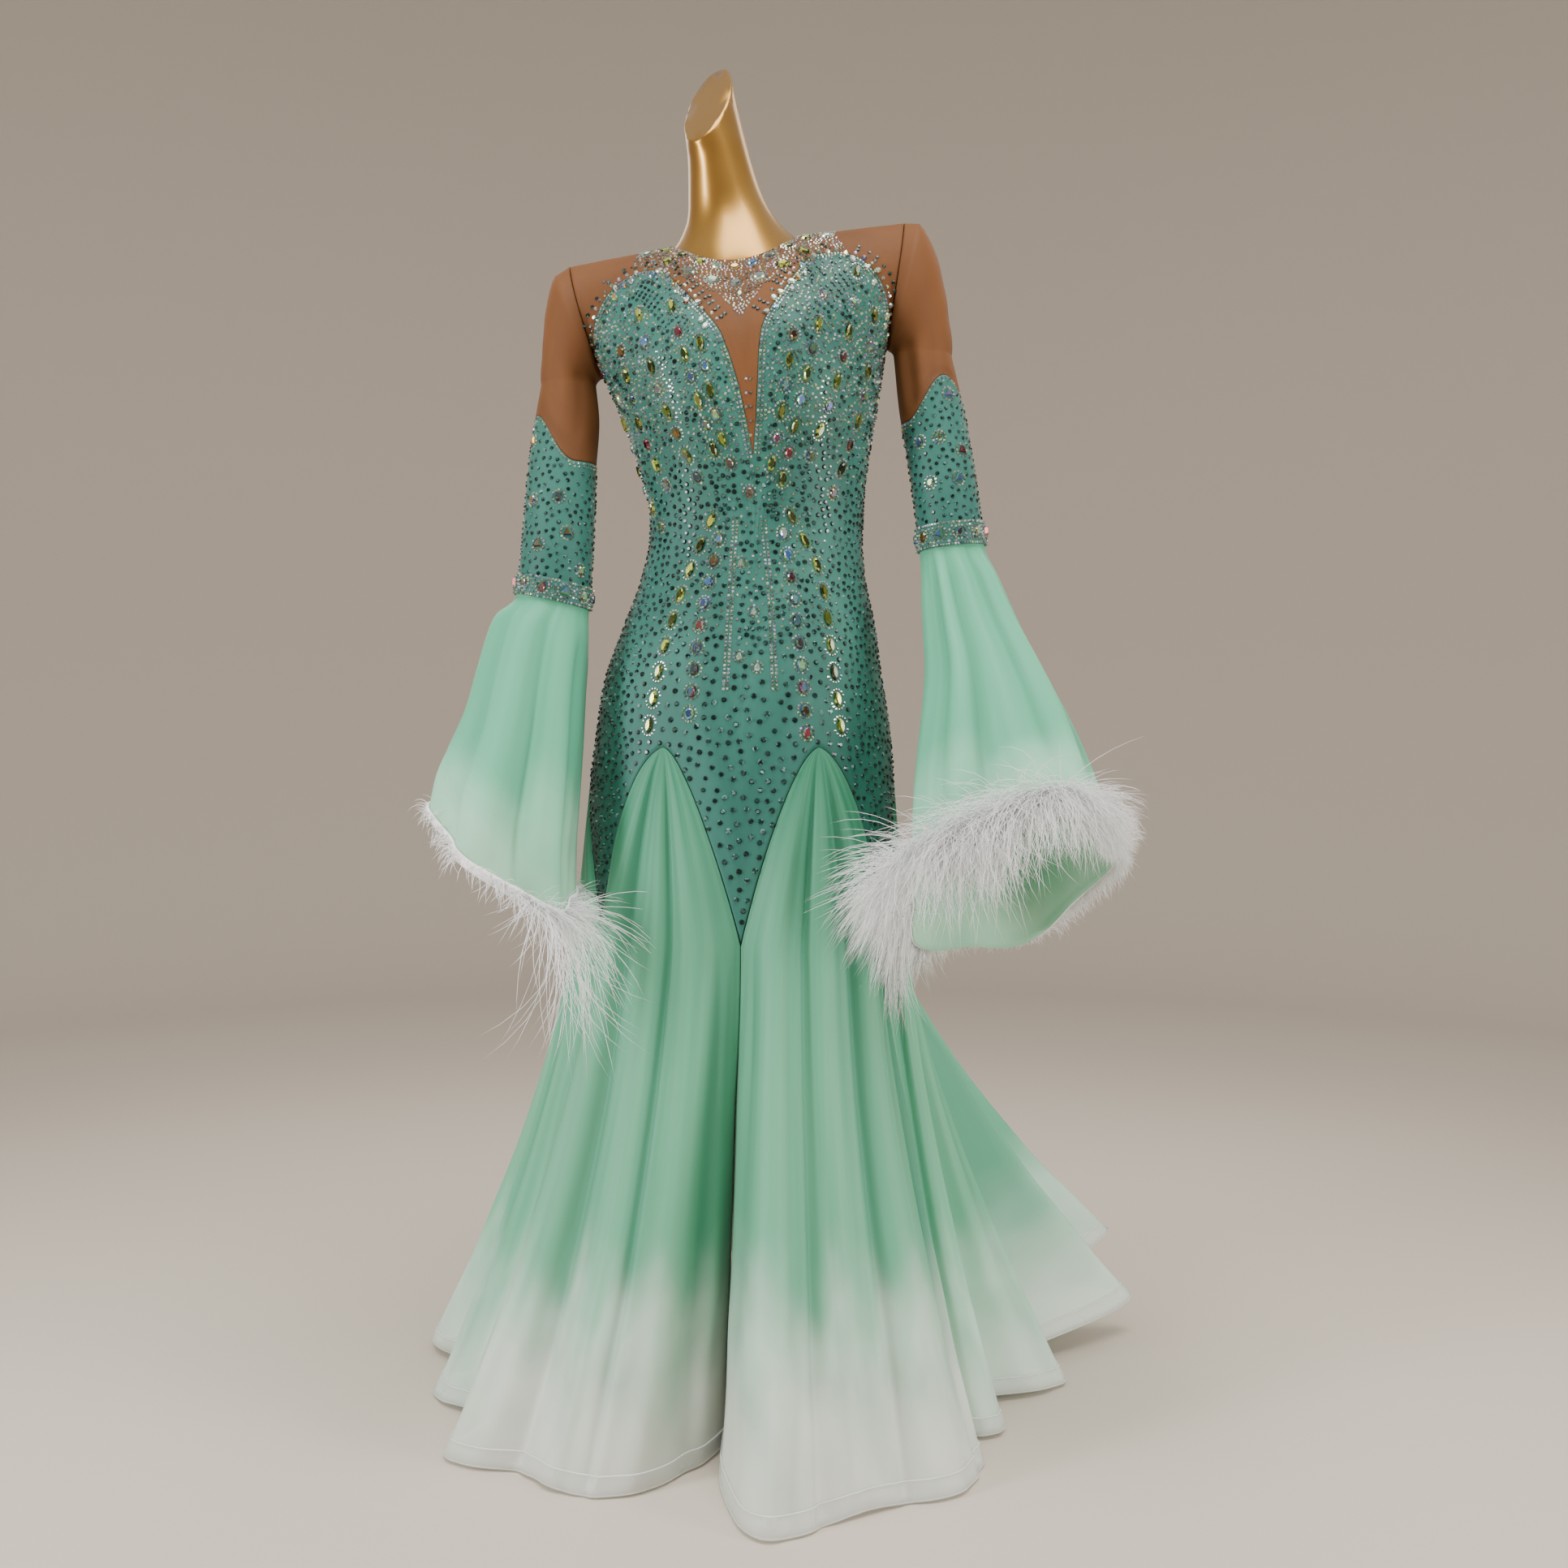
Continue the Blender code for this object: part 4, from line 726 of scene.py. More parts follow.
def new_piece(name, mesh, finish, slot_name, sharp=None):
    for label in ("across", "up"):
        if label in mesh.verts.layers.float:
            mesh.verts.layers.float.remove(mesh.verts.layers.float[label])
    data = smooth_mesh(name, mesh)
    if sharp is not None:
        data.set_sharp_from_angle(angle=radians(sharp))
    return placed_piece(name, data, finish, slot_name)


def tinted_mesh(name, points, faces, tints):
    data = bpy.data.meshes.new(name)
    data.from_pydata(points, [], faces)
    data.attributes.new("tint", "FLOAT", "POINT").data.foreach_set("value", tints)
    return data


def cloth_piece(name, mesh, wall, finish, slot_name, node):
    made = new_piece(name, mesh, finish, slot_name)
    solid = made.modifiers.new("wall", "SOLIDIFY")
    solid.thickness = wall
    solid.offset = -1.0
    solid.use_rim = True
    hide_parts(node)
    return made


def organza_piece(name, mesh, finish, node):
    """A cloth piece of organza, sheer at its hem."""
    layer = mesh.loops.layers.uv.active
    for face in mesh.faces:
        face.material_index = int(min(loop[layer].uv.y for loop in face.loops) > finish.sheer_height)
    made = cloth_piece(name, mesh, ORGANZA_WALL, finish.sheer, "mint_organza", node)
    made.data.materials.append(finish.close)
    return made


WELD = 0.00002


def weld(mesh):
    """Joins corners that lie in one place, such as a tube's two side edges."""
    bmesh.ops.remove_doubles(mesh, verts=mesh.verts, dist=WELD)


def between(stations, share):
    """Value at a share of the way along evenly spread stations."""
    place = share * (len(stations) - 1)
    k = min(int(place), len(stations) - 2)
    return lerp(stations[k], stations[k + 1], place - k)


# ---------------------------------------------------------------- bodice and yokes
def lower_level(angle, points):
    """Level of a bodice panel's lower edge at an angle from the panel's middle."""
    angle = abs(angle)
    for (angle_a, kind_a), (angle_b, _) in zip(points, points[1:]):
        if angle <= angle_b + 1e-6:
            top, tip = (angle_b, angle_a) if kind_a == "tip" else (angle_a, angle_b)
            share = min(max((angle - top) / (tip - top), 0.0), 1.0)
            return APEX_Z - (APEX_Z - TIP_Z) * share ** SEAM_BOW
    return APEX_Z


def mirrored(points):
    angles = [angle for angle, _ in points]
    return [-a for a in angles[:0:-1]] + angles


Crease = namedtuple("Crease", "place level lean length width height")
# long soft pulls in the crepe at the waist, the small of the back and under the arms
FRONT_CREASES = [
    Crease(-0.88, 1.020, 12.0, 0.060, 0.006, -0.0011), Crease(-0.84, 0.985, 18.0, 0.055, 0.006, 0.0008),
    Crease(0.86, 1.035, -14.0, 0.055, 0.006, -0.0011), Crease(0.83, 0.995, -20.0, 0.060, 0.007, 0.0008),
    Crease(-0.90, 1.195, 35.0, 0.040, 0.006, -0.0010), Crease(0.90, 1.200, -35.0, 0.040, 0.006, -0.0010),
    Crease(-0.20, 0.700, 75.0, 0.080, 0.010, 0.0008), Crease(0.85, 0.820, -60.0, 0.080, 0.010, 0.0009)]
BACK_CREASES = [
    Crease(-0.45, 1.040, 6.0, 0.080, 0.007, -0.0013), Crease(0.40, 1.010, -5.0, 0.090, 0.007, -0.0012),
    Crease(-0.30, 0.985, -8.0, 0.070, 0.007, 0.0009), Crease(0.55, 1.050, 9.0, 0.060, 0.006, 0.0009),
    Crease(-0.90, 1.190, 30.0, 0.040, 0.006, -0.0010), Crease(0.88, 1.195, -32.0, 0.040, 0.006, -0.0010),
    Crease(0.25, 0.880, 20.0, 0.070, 0.009, -0.0009), Crease(-0.20, 0.860, -24.0, 0.070, 0.009, 0.0008)]
HALF_GIRTH = 0.145          # metres from a face's middle to its side seam, for the creases' layout


def crease_depth(creases, place, level):
    depth = 0.0
    for crease in creases:
        x = (place - crease.place) * HALF_GIRTH
        z = level - crease.level
        along = x * cos(radians(crease.lean)) + z * sin(radians(crease.lean))
        beside = z * cos(radians(crease.lean)) - x * sin(radians(crease.lean))
        depth += crease.height * bell_curve(along / crease.length * 1.6) * bell_curve(beside / crease.width)
    return depth


def parted(point, face, share):
    """Moves a point away from the other face by half a seam gap, as the solids' edges are."""
    point.y += 0.7 * SEAM_GAP * (-1.0 if face == "front" else 1.0) * share
    return point


def at_edge(value):
    return 1.0 if value > 0.999 else 0.0


def fade_to_edges(place, up):
    return smooth((1.0 - abs(place)) / 0.10) * smooth(up / 0.06) * smooth((1.0 - up) / 0.06)


PANELS = {
    "front": (FRONT_POINTS, SWEETHEART, FRONT_CREASES),
    "back": (BACK_POINTS, BACK_SCOOP, BACK_CREASES)}
SPAN_STEPS = 14             # grid columns from a godet's top to the next point's tip
BODICE_ROWS = 72
YOKE_ROWS = 40
ARMPIT_HALF_WIDTH = 0.163
HIP_RADIUS = 0.115          # about, for turning a gap into degrees


def panel_place(face, across):
    points = PANELS[face][0]
    stations = mirrored(points)
    return between(stations, across) / stations[-1]


def bodice_level(face, place, up):
    points, edge, _ = PANELS[face]
    bottom = lower_level(place * points[-1][0], points)
    return lerp(bottom, edge.at(abs(place)).level, up)


def panel_piece(face, rows, laid, folds, size, finish, names):
    """Front or back panel of crepe or net; the names are its own, its slot's and its solid's."""
    mesh = laid_grid(6 * SPAN_STEPS, rows, laid)
    if face == "back":
        bmesh.ops.reverse_faces(mesh, faces=mesh.faces)
    size_uvs(mesh, *size)
    press(mesh, folds)
    name, slot_name, node = names
    return cloth_piece(name + face, mesh, CREPE_WALL, finish, slot_name, node + face)


def make_bodice(face):
    def laid(across, up):
        place = panel_place(face, across)
        point = body_point(place, bodice_level(face, place, up), face)
        return parted(point, face, at_edge(abs(place)))

    def folds(across, up):
        place = panel_place(face, across)
        return crease_depth(PANELS[face][2], place, bodice_level(face, place, up)) * fade_to_edges(place, up)

    return panel_piece(face, BODICE_ROWS, laid, folds, (0.46, 0.52), TEAL,
                       ("bodice_crepe_", "teal_crepe", "bodice_"))


def net_folds(face, place, share):
    """Faint drag lines in the net, from the shoulder towards the bust and beside the armholes."""
    lines = 0.0006 * bell_curve((abs(place) - 0.80) / 0.05) * sin(pi * share)
    lines -= 0.0005 * bell_curve((abs(place) - 0.90) / 0.03) * sin(pi * share)
    return lines * (1.0 if face == "front" else 1.3)


def make_yoke(face):
    edge = PANELS[face][1]

    def start_level(place):
        near = 0.004
        rise = edge.at(min(abs(place) + near, 1.0)).level - edge.at(max(abs(place) - near, 0.0)).level
        run = 2.0 * near * ARMPIT_HALF_WIDTH
        return edge.at(abs(place)).level + SEAM_GAP * sqrt(1.0 + (rise / run) ** 2)

    def laid(across, up):
        place = panel_place(face, across)
        point = body_point(place, lerp(start_level(place), TOP_LEVEL, up), face)
        return parted(point, face, max(at_edge(abs(place)), at_edge(up)))

    def folds(across, up):
        place = panel_place(face, across)
        return net_folds(face, place, up) * fade_to_edges(place, up)

    return panel_piece(face, YOKE_ROWS, laid, folds, (0.40, 0.16), NET,
                       ("yoke_net_", "skin_net", "yoke_"))


# ---------------------------------------------------------------- skirt
Ray = namedtuple("Ray", "across width height start skew")
# the long folds of the two front godets, from their tops down: place, width, height in mm, start and skew
FRONT_RAYS = {
    "godet_front_left": [
        Ray(-0.80, 0.060, -6.0, 0.30, 0.3), Ray(-0.52, 0.130, 8.5, 0.10, 0.5),
        Ray(-0.24, 0.048, -9.5, 0.01, -0.4), Ray(0.04, 0.140, 9.0, 0.02, 0.5),
        Ray(0.30, 0.042, -10.0, 0.01, -0.4), Ray(0.54, 0.110, 8.0, 0.04, 0.5),
        Ray(0.78, 0.055, -7.0, 0.20, -0.3), Ray(0.16, 0.030, -3.5, 0.40, 0.3)],
    "godet_front_right": [
        Ray(-0.82, 0.055, -7.0, 0.25, 0.3), Ray(-0.58, 0.110, 8.0, 0.06, -0.5),
        Ray(-0.30, 0.042, -10.0, 0.01, 0.4), Ray(-0.02, 0.140, 9.0, 0.02, -0.5),
        Ray(0.22, 0.048, -9.5, 0.02, 0.4), Ray(0.48, 0.130, 8.5, 0.05, -0.5),
        Ray(0.76, 0.050, -7.5, 0.10, 0.3), Ray(-0.14, 0.030, -3.5, 0.45, -0.3)]}


def fold_rays(seed, count):
    """Uneven soft folds of one godet, which run from its top to the hem and widen on the way."""
    draw = random.Random(seed)
    rays = []
    for k in range(count):
        across = -0.9 + 1.8 * (k + draw.uniform(0.15, 0.85)) / count
        height = draw.uniform(5.0, 9.0) if k % 2 else -draw.uniform(5.0, 10.0)
        width = draw.uniform(0.085, 0.140) if k % 2 else draw.uniform(0.035, 0.055)
        rays.append(Ray(across, width, height, draw.uniform(0.0, 0.25), draw.uniform(-0.5, 0.5)))
    return rays


SEAM_ROWS = 0.30            # share of a godet's grid rows that lie above the bodice's tips


def godet_share(up):
    """Share of the drop, 0 at the top of the godet's seams and 1 at the tips, then 1 to 2 down to the hem."""
    down = 1.0 - up
    return down / SEAM_ROWS if down < SEAM_ROWS else 1.0 + (down - SEAM_ROWS) / (1.0 - SEAM_ROWS)


def godet_spot(godet, across, up):
    """Point of a godet; across runs -1 to 1 between its seams, up from the hem (0) to its top (1)."""
    share = godet_share(up)
    on_seam = min(max(share, 0.015), 1.0)
    left = lerp(godet.top, godet.left_tip, on_seam)
    right = lerp(godet.top, godet.right_tip, on_seam)
    inset = (2.4 if share < 1.0 else 0.8) * SEAM_GAP / HIP_RADIUS * 180.0 / pi
    angle = lerp(left + inset, right - inset, 0.5 * (across + 1.0))
    level = APEX_Z - (APEX_Z - TIP_Z) * on_seam ** SEAM_BOW - 1.5 * SEAM_GAP
    if share > 1.0:
        lift = HEM.at(lerp(godet.left_hem, godet.right_hem, 0.5 * (across + 1.0))).lift
        level = lerp(TIP_Z, lift, share - 1.0)
    return skirt_point(angle, level)


def leaning_ridge(off, width, skew):
    """Ridge that falls off faster on one side than on the other."""
    return bell_curve(off / (width * (1.0 + (skew if off > 0.0 else -skew))))


def godet_folds(rays, across, up):
    fall = 1.0 - up
    depth = 0.0
    for ray in rays:
        grown = smooth((fall - ray.start) / 0.22) * (0.45 + 0.55 * fall)
        depth += MM * ray.height * grown * leaning_ridge(across - ray.across, ray.width, ray.skew)
    crisp = 0.0007 * sin(across * 29.0 + 5.0 * sin(across * 4.0 + fall * 2.0)) * smooth((fall - 0.45) / 0.5)
    rumple = 0.0016 * smooth((fall - 0.6) / 0.3)
    rumple *= sin(fall * 23.0 + across * 11.0) * sin(across * 17.0 - fall * 9.0)
    return (depth + crisp + rumple) * smooth((1.0 - abs(across)) / 0.12) * smooth(up / 0.01 + 0.5)


GODET_STEPS = 116
GODET_ROWS = 72
GODET_RAYS = {godet.name: FRONT_RAYS.get(godet.name) or fold_rays(11 + k, 8)
              for k, godet in enumerate(GODETS)}


def make_godet(godet):
    rays = GODET_RAYS[godet.name]
    mesh = laid_grid(GODET_STEPS, GODET_ROWS, lambda across, up: godet_spot(godet, 2.0 * across - 1.0, up))
    size_uvs(mesh, 0.9, 0.82)
    press(mesh, lambda across, up: godet_folds(rays, 2.0 * across - 1.0, up))
    finish = SKIRT_ORGANZA if "front" in godet.name else SIDE_ORGANZA
    return organza_piece("organza_" + godet.name, mesh, finish, godet.name)


BRAID_BOTTOM = 0.0012       # shares up the godets' grid where the braid's edges run
BRAID_TOP = 0.026
BRAID_END = 0.985           # how near to a godet's seam its part of the braid reaches
BRAID_STEPS = 60            # braid columns on each godet


def make_braid():
    """Crin braid sewn round the hem: the godets' own lowest rows, moved out."""
    def on_godet(across, up):
        place = across * len(GODETS)
        k = min(int(place), len(GODETS) - 1)
        inside = min(max(2.0 * (place - k) - 1.0, -BRAID_END), BRAID_END)
        return GODETS[k], inside, lerp(BRAID_BOTTOM, BRAID_TOP, up)

    def laid(across, up):
        return godet_spot(*on_godet(across, up))

    def folds(across, up):
        godet, inside, level = on_godet(across, up)
        return godet_folds(GODET_RAYS[godet.name], inside, level) + LAID_GAP + BRAID_WALL

    mesh = laid_grid(BRAID_STEPS * len(GODETS), 3, laid)
    weld(mesh)
    size_uvs(mesh, 4.9, BRAID_WIDTH)
    press(mesh, folds)
    return cloth_piece("hem_crin_braid", mesh, BRAID_WALL, BRAID, "hem_braid", "hem_braid")


# ---------------------------------------------------------------- sleeves, cuffs and bells
def armhole_point(side, angle):
    place = side_sign(side)
    face = "front" if angle <= 180.0 else "back"
    share = abs(180.0 - angle) / 180.0
    point = body_point(place, lerp(ARMPIT_Z, TOP_LEVEL, share), face)
    point.x += place * ARMHOLE_GAP
    return point


def head_point(side, angle, turn):
    head = HEAD[side].at(turn)
    outward = Vector((side_sign(side) * sin(radians(turn)), 0.0, cos(radians(turn))))
    half = 0.5 * (head.reach - ARMPIT_TURN)
    middle = ARMPIT[side] + outward * (ARMPIT_TURN + half)
    across = Vector((0.0, -sin(radians(angle)), 0.0))
    return middle + outward * (half * cos(radians(angle))) + across * head.half_depth


def lower_edge(side, angle):
    edge = LOWER_EDGE[side]
    return edge.level + edge.peak * max(0.0, cos(radians(angle - edge.peak_angle))) ** 2


def ring_point(table, side, angle, level, waves=0):
    row = table.at(level)
    wave = 1.0 + row.wave * cos(radians(angle * waves)) if waves else 1.0
    x = side_sign(side) * row.half_x * wave * cos(radians(angle))
    y = -row.half_y * wave * sin(radians(angle))
    return Vector((row.x + x, row.y + y, level + row.slope_x * x + row.slope_y * y))


# sleeve net: drag folds round the arm as (angle, drift down the arm, width, height, first and last share)
ArmFold = namedtuple("ArmFold", "angle drift width height start end")
ARM_FOLDS = {
    "left": [ArmFold(60.0, 25.0, 9.0, -0.0016, 0.15, 0.85), ArmFold(95.0, -15.0, 8.0, 0.0012, 0.25, 0.95),
             ArmFold(128.0, -10.0, 9.0, -0.0018, 0.20, 0.90), ArmFold(160.0, 10.0, 8.0, 0.0012, 0.30, 0.95),
             ArmFold(235.0, 18.0, 10.0, -0.0015, 0.15, 0.85), ArmFold(290.0, -20.0, 9.0, 0.0013, 0.2, 0.9)],
    "right": [ArmFold(74.0, 16.0, 8.0, -0.0022, 0.22, 0.98), ArmFold(100.0, 8.0, 8.0, 0.0016, 0.25, 0.98),
              ArmFold(126.0, 2.0, 8.0, -0.0022, 0.22, 0.98), ArmFold(150.0, -4.0, 7.0, 0.0014, 0.3, 0.95),
              ArmFold(40.0, 10.0, 9.0, 0.0010, 0.3, 0.9), ArmFold(225.0, -15.0, 10.0, -0.0016, 0.2, 0.9),
              ArmFold(300.0, 20.0, 9.0, 0.0013, 0.2, 0.85)]}


def arm_fold_depth(side, angle, down):
    depth = 0.0
    for fold in ARM_FOLDS[side]:
        off = turn_off(angle, fold.angle + fold.drift * down)
        reach = smooth((down - fold.start) / 0.2) * smooth((fold.end - down) / 0.15 + 0.2)
        depth += fold.height * bell_curve(off / fold.width) * reach
    return depth


HEAD_SHARE = 0.10           # share of the upper sleeve's grid from the armhole to the head's first ring
TURN_SHARE = 0.42           # share where the head ends and the arm begins


def upper_sleeve_point(side, angle, down):
    angle = angle % 360.0
    table = HEAD[side]
    first, last = table.keys[0], table.keys[-1]
    if down <= HEAD_SHARE:
        return armhole_point(side, angle).lerp(head_point(side, angle, first), down / HEAD_SHARE)
    if down <= TURN_SHARE:
        return head_point(side, angle, lerp(first, last, (down - HEAD_SHARE) / (TURN_SHARE - HEAD_SHARE)))
    arm = ARM[side]
    share = (down - TURN_SHARE) / (1.0 - TURN_SHARE)
    level = lerp(arm.keys[-1], lower_edge(side, angle) + 2.0 * SEAM_GAP, share)
    return ring_point(arm, side, angle, level)


SLEEVE_STEPS = 72


def tube(side, steps, down_steps, point, sizes, folds=None):
    """Grid round an arm; point and folds take the angle and the share down the tube."""
    mesh = laid_grid(steps, down_steps, lambda across, up: point(360.0 * across, 1.0 - up))
    weld(mesh)
    if side == "right":
        bmesh.ops.reverse_faces(mesh, faces=mesh.faces)
    size_uvs(mesh, *sizes)
    if folds is not None:
        press(mesh, lambda across, up: folds(360.0 * across, 1.0 - up))
    return mesh


def make_upper_sleeve(side):
    def folds(angle, down):
        return arm_fold_depth(side, angle, down) * smooth((1.0 - down) / 0.05)

    mesh = tube(side, SLEEVE_STEPS, 64, lambda angle, down: upper_sleeve_point(side, angle, down),
                (0.24, 0.26), folds)
    return cloth_piece("sleeve_net_" + side, mesh, CREPE_WALL, NET, "skin_net", "sleeve_upper_" + side)


def make_lower_sleeve(side):
    cuff = CUFF[side]
    lowest = cuff.level + SEAM_GAP

    def point(angle, down):
        return ring_point(ARM[side], side, angle, lerp(lower_edge(side, angle), lowest, down))

    mesh = tube(side, SLEEVE_STEPS, 40, point, (0.24, 0.14))
    return cloth_piece("sleeve_crepe_" + side, mesh, CREPE_WALL, TEAL, "teal_crepe", "sleeve_lower_" + side)


def make_cuff(side):
    cuff = CUFF[side]

    def point(angle, down):
        top = ring_point(ARM[side], side, angle, cuff.level + cuff.half_height)
        bottom = ring_point(BELL[side], side, angle, cuff.level - cuff.half_height, BELL_WAVES)
        return top.lerp(bottom, down)

    mesh = tube(side, 96, 6, point, (0.25, 0.026), lambda angle, down: BAND_WALL + 2.0 * LAID_GAP)
    return cloth_piece("cuff_crepe_" + side, mesh, BAND_WALL, TEAL, "teal_crepe", "cuff_band_" + side)


# folds of the bells: angle, width in degrees, height in mm, share down where it starts, skew
BELL_RAYS = {
    "left": [(18.0, 14.0, 4.5, 0.05, 0.4), (50.0, 7.0, -6.0, 0.02, -0.4), (76.0, 15.0, 6.0, 0.02, 0.5),
             (104.0, 5.0, -7.0, 0.0, -0.5), (126.0, 11.0, 6.0, 0.05, 0.4), (152.0, 6.0, -6.0, 0.1, 0.3),
             (196.0, 12.0, 4.5, 0.1, 0.4), (232.0, 7.0, -5.0, 0.0, -0.4), (281.0, 13.0, 5.0, 0.1, 0.5),
             (322.0, 7.0, -5.0, 0.0, 0.3)],
    "right": [(15.0, 8.0, -5.5, 0.0, 0.4), (44.0, 15.0, 6.5, 0.0, 0.5), (69.0, 5.0, -7.5, 0.0, -0.4),
              (91.0, 13.0, 7.5, 0.0, 0.5), (109.0, 4.5, -8.5, 0.0, -0.5), (123.0, 7.0, 8.0, 0.0, 0.5),
              (137.0, 4.5, -9.0, 0.0, -0.4), (160.0, 13.0, 6.0, 0.05, 0.4), (204.0, 9.0, -5.0, 0.0, 0.4),
              (246.0, 13.0, 5.5, 0.0, 0.5), (290.0, 8.0, -5.0, 0.0, -0.4), (331.0, 13.0, 5.0, 0.0, 0.4)]}


def bell_folds(side, angle, down):
    depth = 0.0
    for centre, width, height, start, skew in BELL_RAYS[side]:
        grown = smooth((down - start) / 0.14) * (0.55 + 0.45 * down)
        depth += MM * height * leaning_ridge(turn_off(angle, centre), width, skew) * grown
    return depth * (1.0 - 0.45 * smooth((down - 0.8) / 0.2))


def bell_point(side, angle, down):
    table = BELL[side]
    return ring_point(table, side, angle, lerp(BELL_TOP[side], table.keys[0], down), BELL_WAVES)


def make_bell(side):
    height = BELL[side].keys[-1] - BELL[side].keys[0]
    mesh = tube(side, 144, 56, lambda angle, down: bell_point(side, angle, down), (0.60, height),
                lambda angle, down: bell_folds(side, angle, down))
    return organza_piece("organza_bell_" + side, mesh, BELL_ORGANZA, "bell_sleeve_" + side)


# ---------------------------------------------------------------- dress form and stand
FORM_CAP_Z = 1.46           # above it lies the slanted neck cap, below the other the form's lower edge
FORM_RIM_Z = 0.75
FORM_CRISP = 38.0           # turn between two faces from which their edge stays crisp, in degrees


def make_form():
    """The form's own shape, smoothed; its cut face and lower edge stay crisp."""
    mesh = bmesh.new()
    mesh.from_mesh(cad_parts["form_torso"].data)
    weld(mesh)
    bmesh.ops.join_triangles(mesh, faces=mesh.faces, angle_face_threshold=radians(40.0),
                             angle_shape_threshold=radians(70.0))
    crease = mesh.edges.layers.float.get("crease_edge") or mesh.edges.layers.float.new("crease_edge")
    for edge in mesh.edges:
        high = min(vert.co.z for vert in edge.verts) > FORM_CAP_Z
        low = max(vert.co.z for vert in edge.verts) < FORM_RIM_Z
        if (high or low) and len(edge.link_faces) == 2 and edge.calc_face_angle() > radians(FORM_CRISP):
            edge[crease] = 0.85
    made = new_piece("form_gold_torso", mesh, GOLD, "gold_form")
    subdivide = made.modifiers.new("smooth", "SUBSURF")
    subdivide.levels = subdivide.render_levels = 2
    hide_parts("form_torso")


def refinish(name, finish):
    """Gives a carried-over solid its material."""
    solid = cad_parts[name]
    if not solid.material_slots:
        solid.data.materials.append(finish)
    for each in solid.material_slots:
        each.link = "OBJECT"
        each.material = finish


# ---------------------------------------------------------------- zip
ZIP_BOTTOM = 0.865
ZIP_TOP = 1.3395
ZIP_HALF_WIDTH = 0.004
TOOTH_PITCH = 0.0030


def zip_spot(level, lift):
    """Point over the middle of the back, and the cloth's outward normal there."""
    normal = body_normal(0.0, level, "back")
    return body_point(0.0, level, "back") + normal * lift, normal


def make_zip():
    """Closed zip: its tape laid on the middle seam, with teeth, a slider and a hanging pull."""
    def laid(across, up):
        lift = CREPE_WALL + LAID_GAP - 0.0006 * (2.0 * across - 1.0) ** 2
        point, _ = zip_spot(lerp(ZIP_BOTTOM, ZIP_TOP, up), lift)
        return point + Vector((ZIP_HALF_WIDTH * (1.0 - 2.0 * across), 0.0, 0.0))

    mesh = laid_grid(6, 150, laid)
    size_uvs(mesh, 2.0 * ZIP_HALF_WIDTH, ZIP_TOP - ZIP_BOTTOM)
    tape = cloth_piece("zip_tape", mesh, CREPE_WALL, ZIP_TAPE, "zip_tape", "back_zip")

    tooth = bmesh.new()
    bmesh.ops.create_cube(tooth, size=1.0)
    bmesh.ops.scale(tooth, vec=(0.0030, 0.0011, 0.0013), verts=tooth.verts)
    parts = []
    level = ZIP_BOTTOM + 0.004
    side = 1.0
    while level < ZIP_TOP - 0.020:
        point, normal = zip_spot(level, CREPE_WALL + LAID_GAP + 0.0003)
        parts.append((tooth, frame_at(point + Vector((0.0009 * side, 0.0, 0.0)), normal), 0.5))
        side = -side
        level += 0.5 * TOOTH_PITCH
    teeth = joined_piece("zip_teeth", parts, ZIP_COIL, "zip_tape")
    tooth.free()

    at_slider = frame_at(*zip_spot(ZIP_TOP - 0.014, CREPE_WALL + LAID_GAP + 0.0014))
    slider = bmesh.new()
    bmesh.ops.create_cube(slider, size=1.0)
    bmesh.ops.scale(slider, vec=(0.0075, 0.0024, 0.0100), verts=slider.verts)
    for vert in slider.verts:
        if vert.co.z < 0.0:
            vert.co.x *= 0.62
    bmesh.ops.bevel(slider, geom=slider.edges[:], offset=0.0007, offset_type="OFFSET", affect="EDGES",
                    segments=3, profile=0.5, material=-1)
    pull = bmesh.new()
    bmesh.ops.create_circle(pull, cap_ends=True, segments=24, radius=0.0036)
    for vert in pull.verts:
        vert.co.y *= 2.4
        vert.co.x *= 1.0 - 0.25 * smooth(vert.co.y / 0.0086)
    faces = bmesh.ops.extrude_face_region(pull, geom=pull.faces[:])["geom"]
    bmesh.ops.translate(pull, verts=[v for v in faces if isinstance(v, bmesh.types.BMVert)],
                        vec=(0.0, 0.0, 0.0012))
    bmesh.ops.recalc_face_normals(pull, faces=pull.faces)
    bmesh.ops.rotate(pull, verts=pull.verts, matrix=Matrix.Rotation(radians(90.0), 3, "X"))
    bmesh.ops.translate(pull, verts=pull.verts, vec=(0.0, 0.0030, -0.0100))
    both = bmesh.new()
    for part in (slider, pull):
        data = bpy.data.meshes.new("part")
        part.to_mesh(data)
        part.free()
        both.from_mesh(data)
        bpy.data.meshes.remove(data)
    bmesh.ops.transform(both, matrix=at_slider, verts=both.verts)
    slider_piece = new_piece("zip_slider", both, ZIP_METAL, "zip_tape", sharp=40.0)
    return tape, teeth, slider_piece


# ---------------------------------------------------------------- many small things
def frame_at(point, normal):
    """Matrix whose Y points along the normal and whose Z is as near to up as it can be."""
    y = normal.normalized()
    x = y.cross(UP).normalized()
    z = x.cross(y)
    return Matrix(((x.x, y.x, z.x, point.x), (x.y, y.y, z.y, point.y), (x.z, y.z, z.z, point.z),
                   (0.0, 0.0, 0.0, 1.0)))


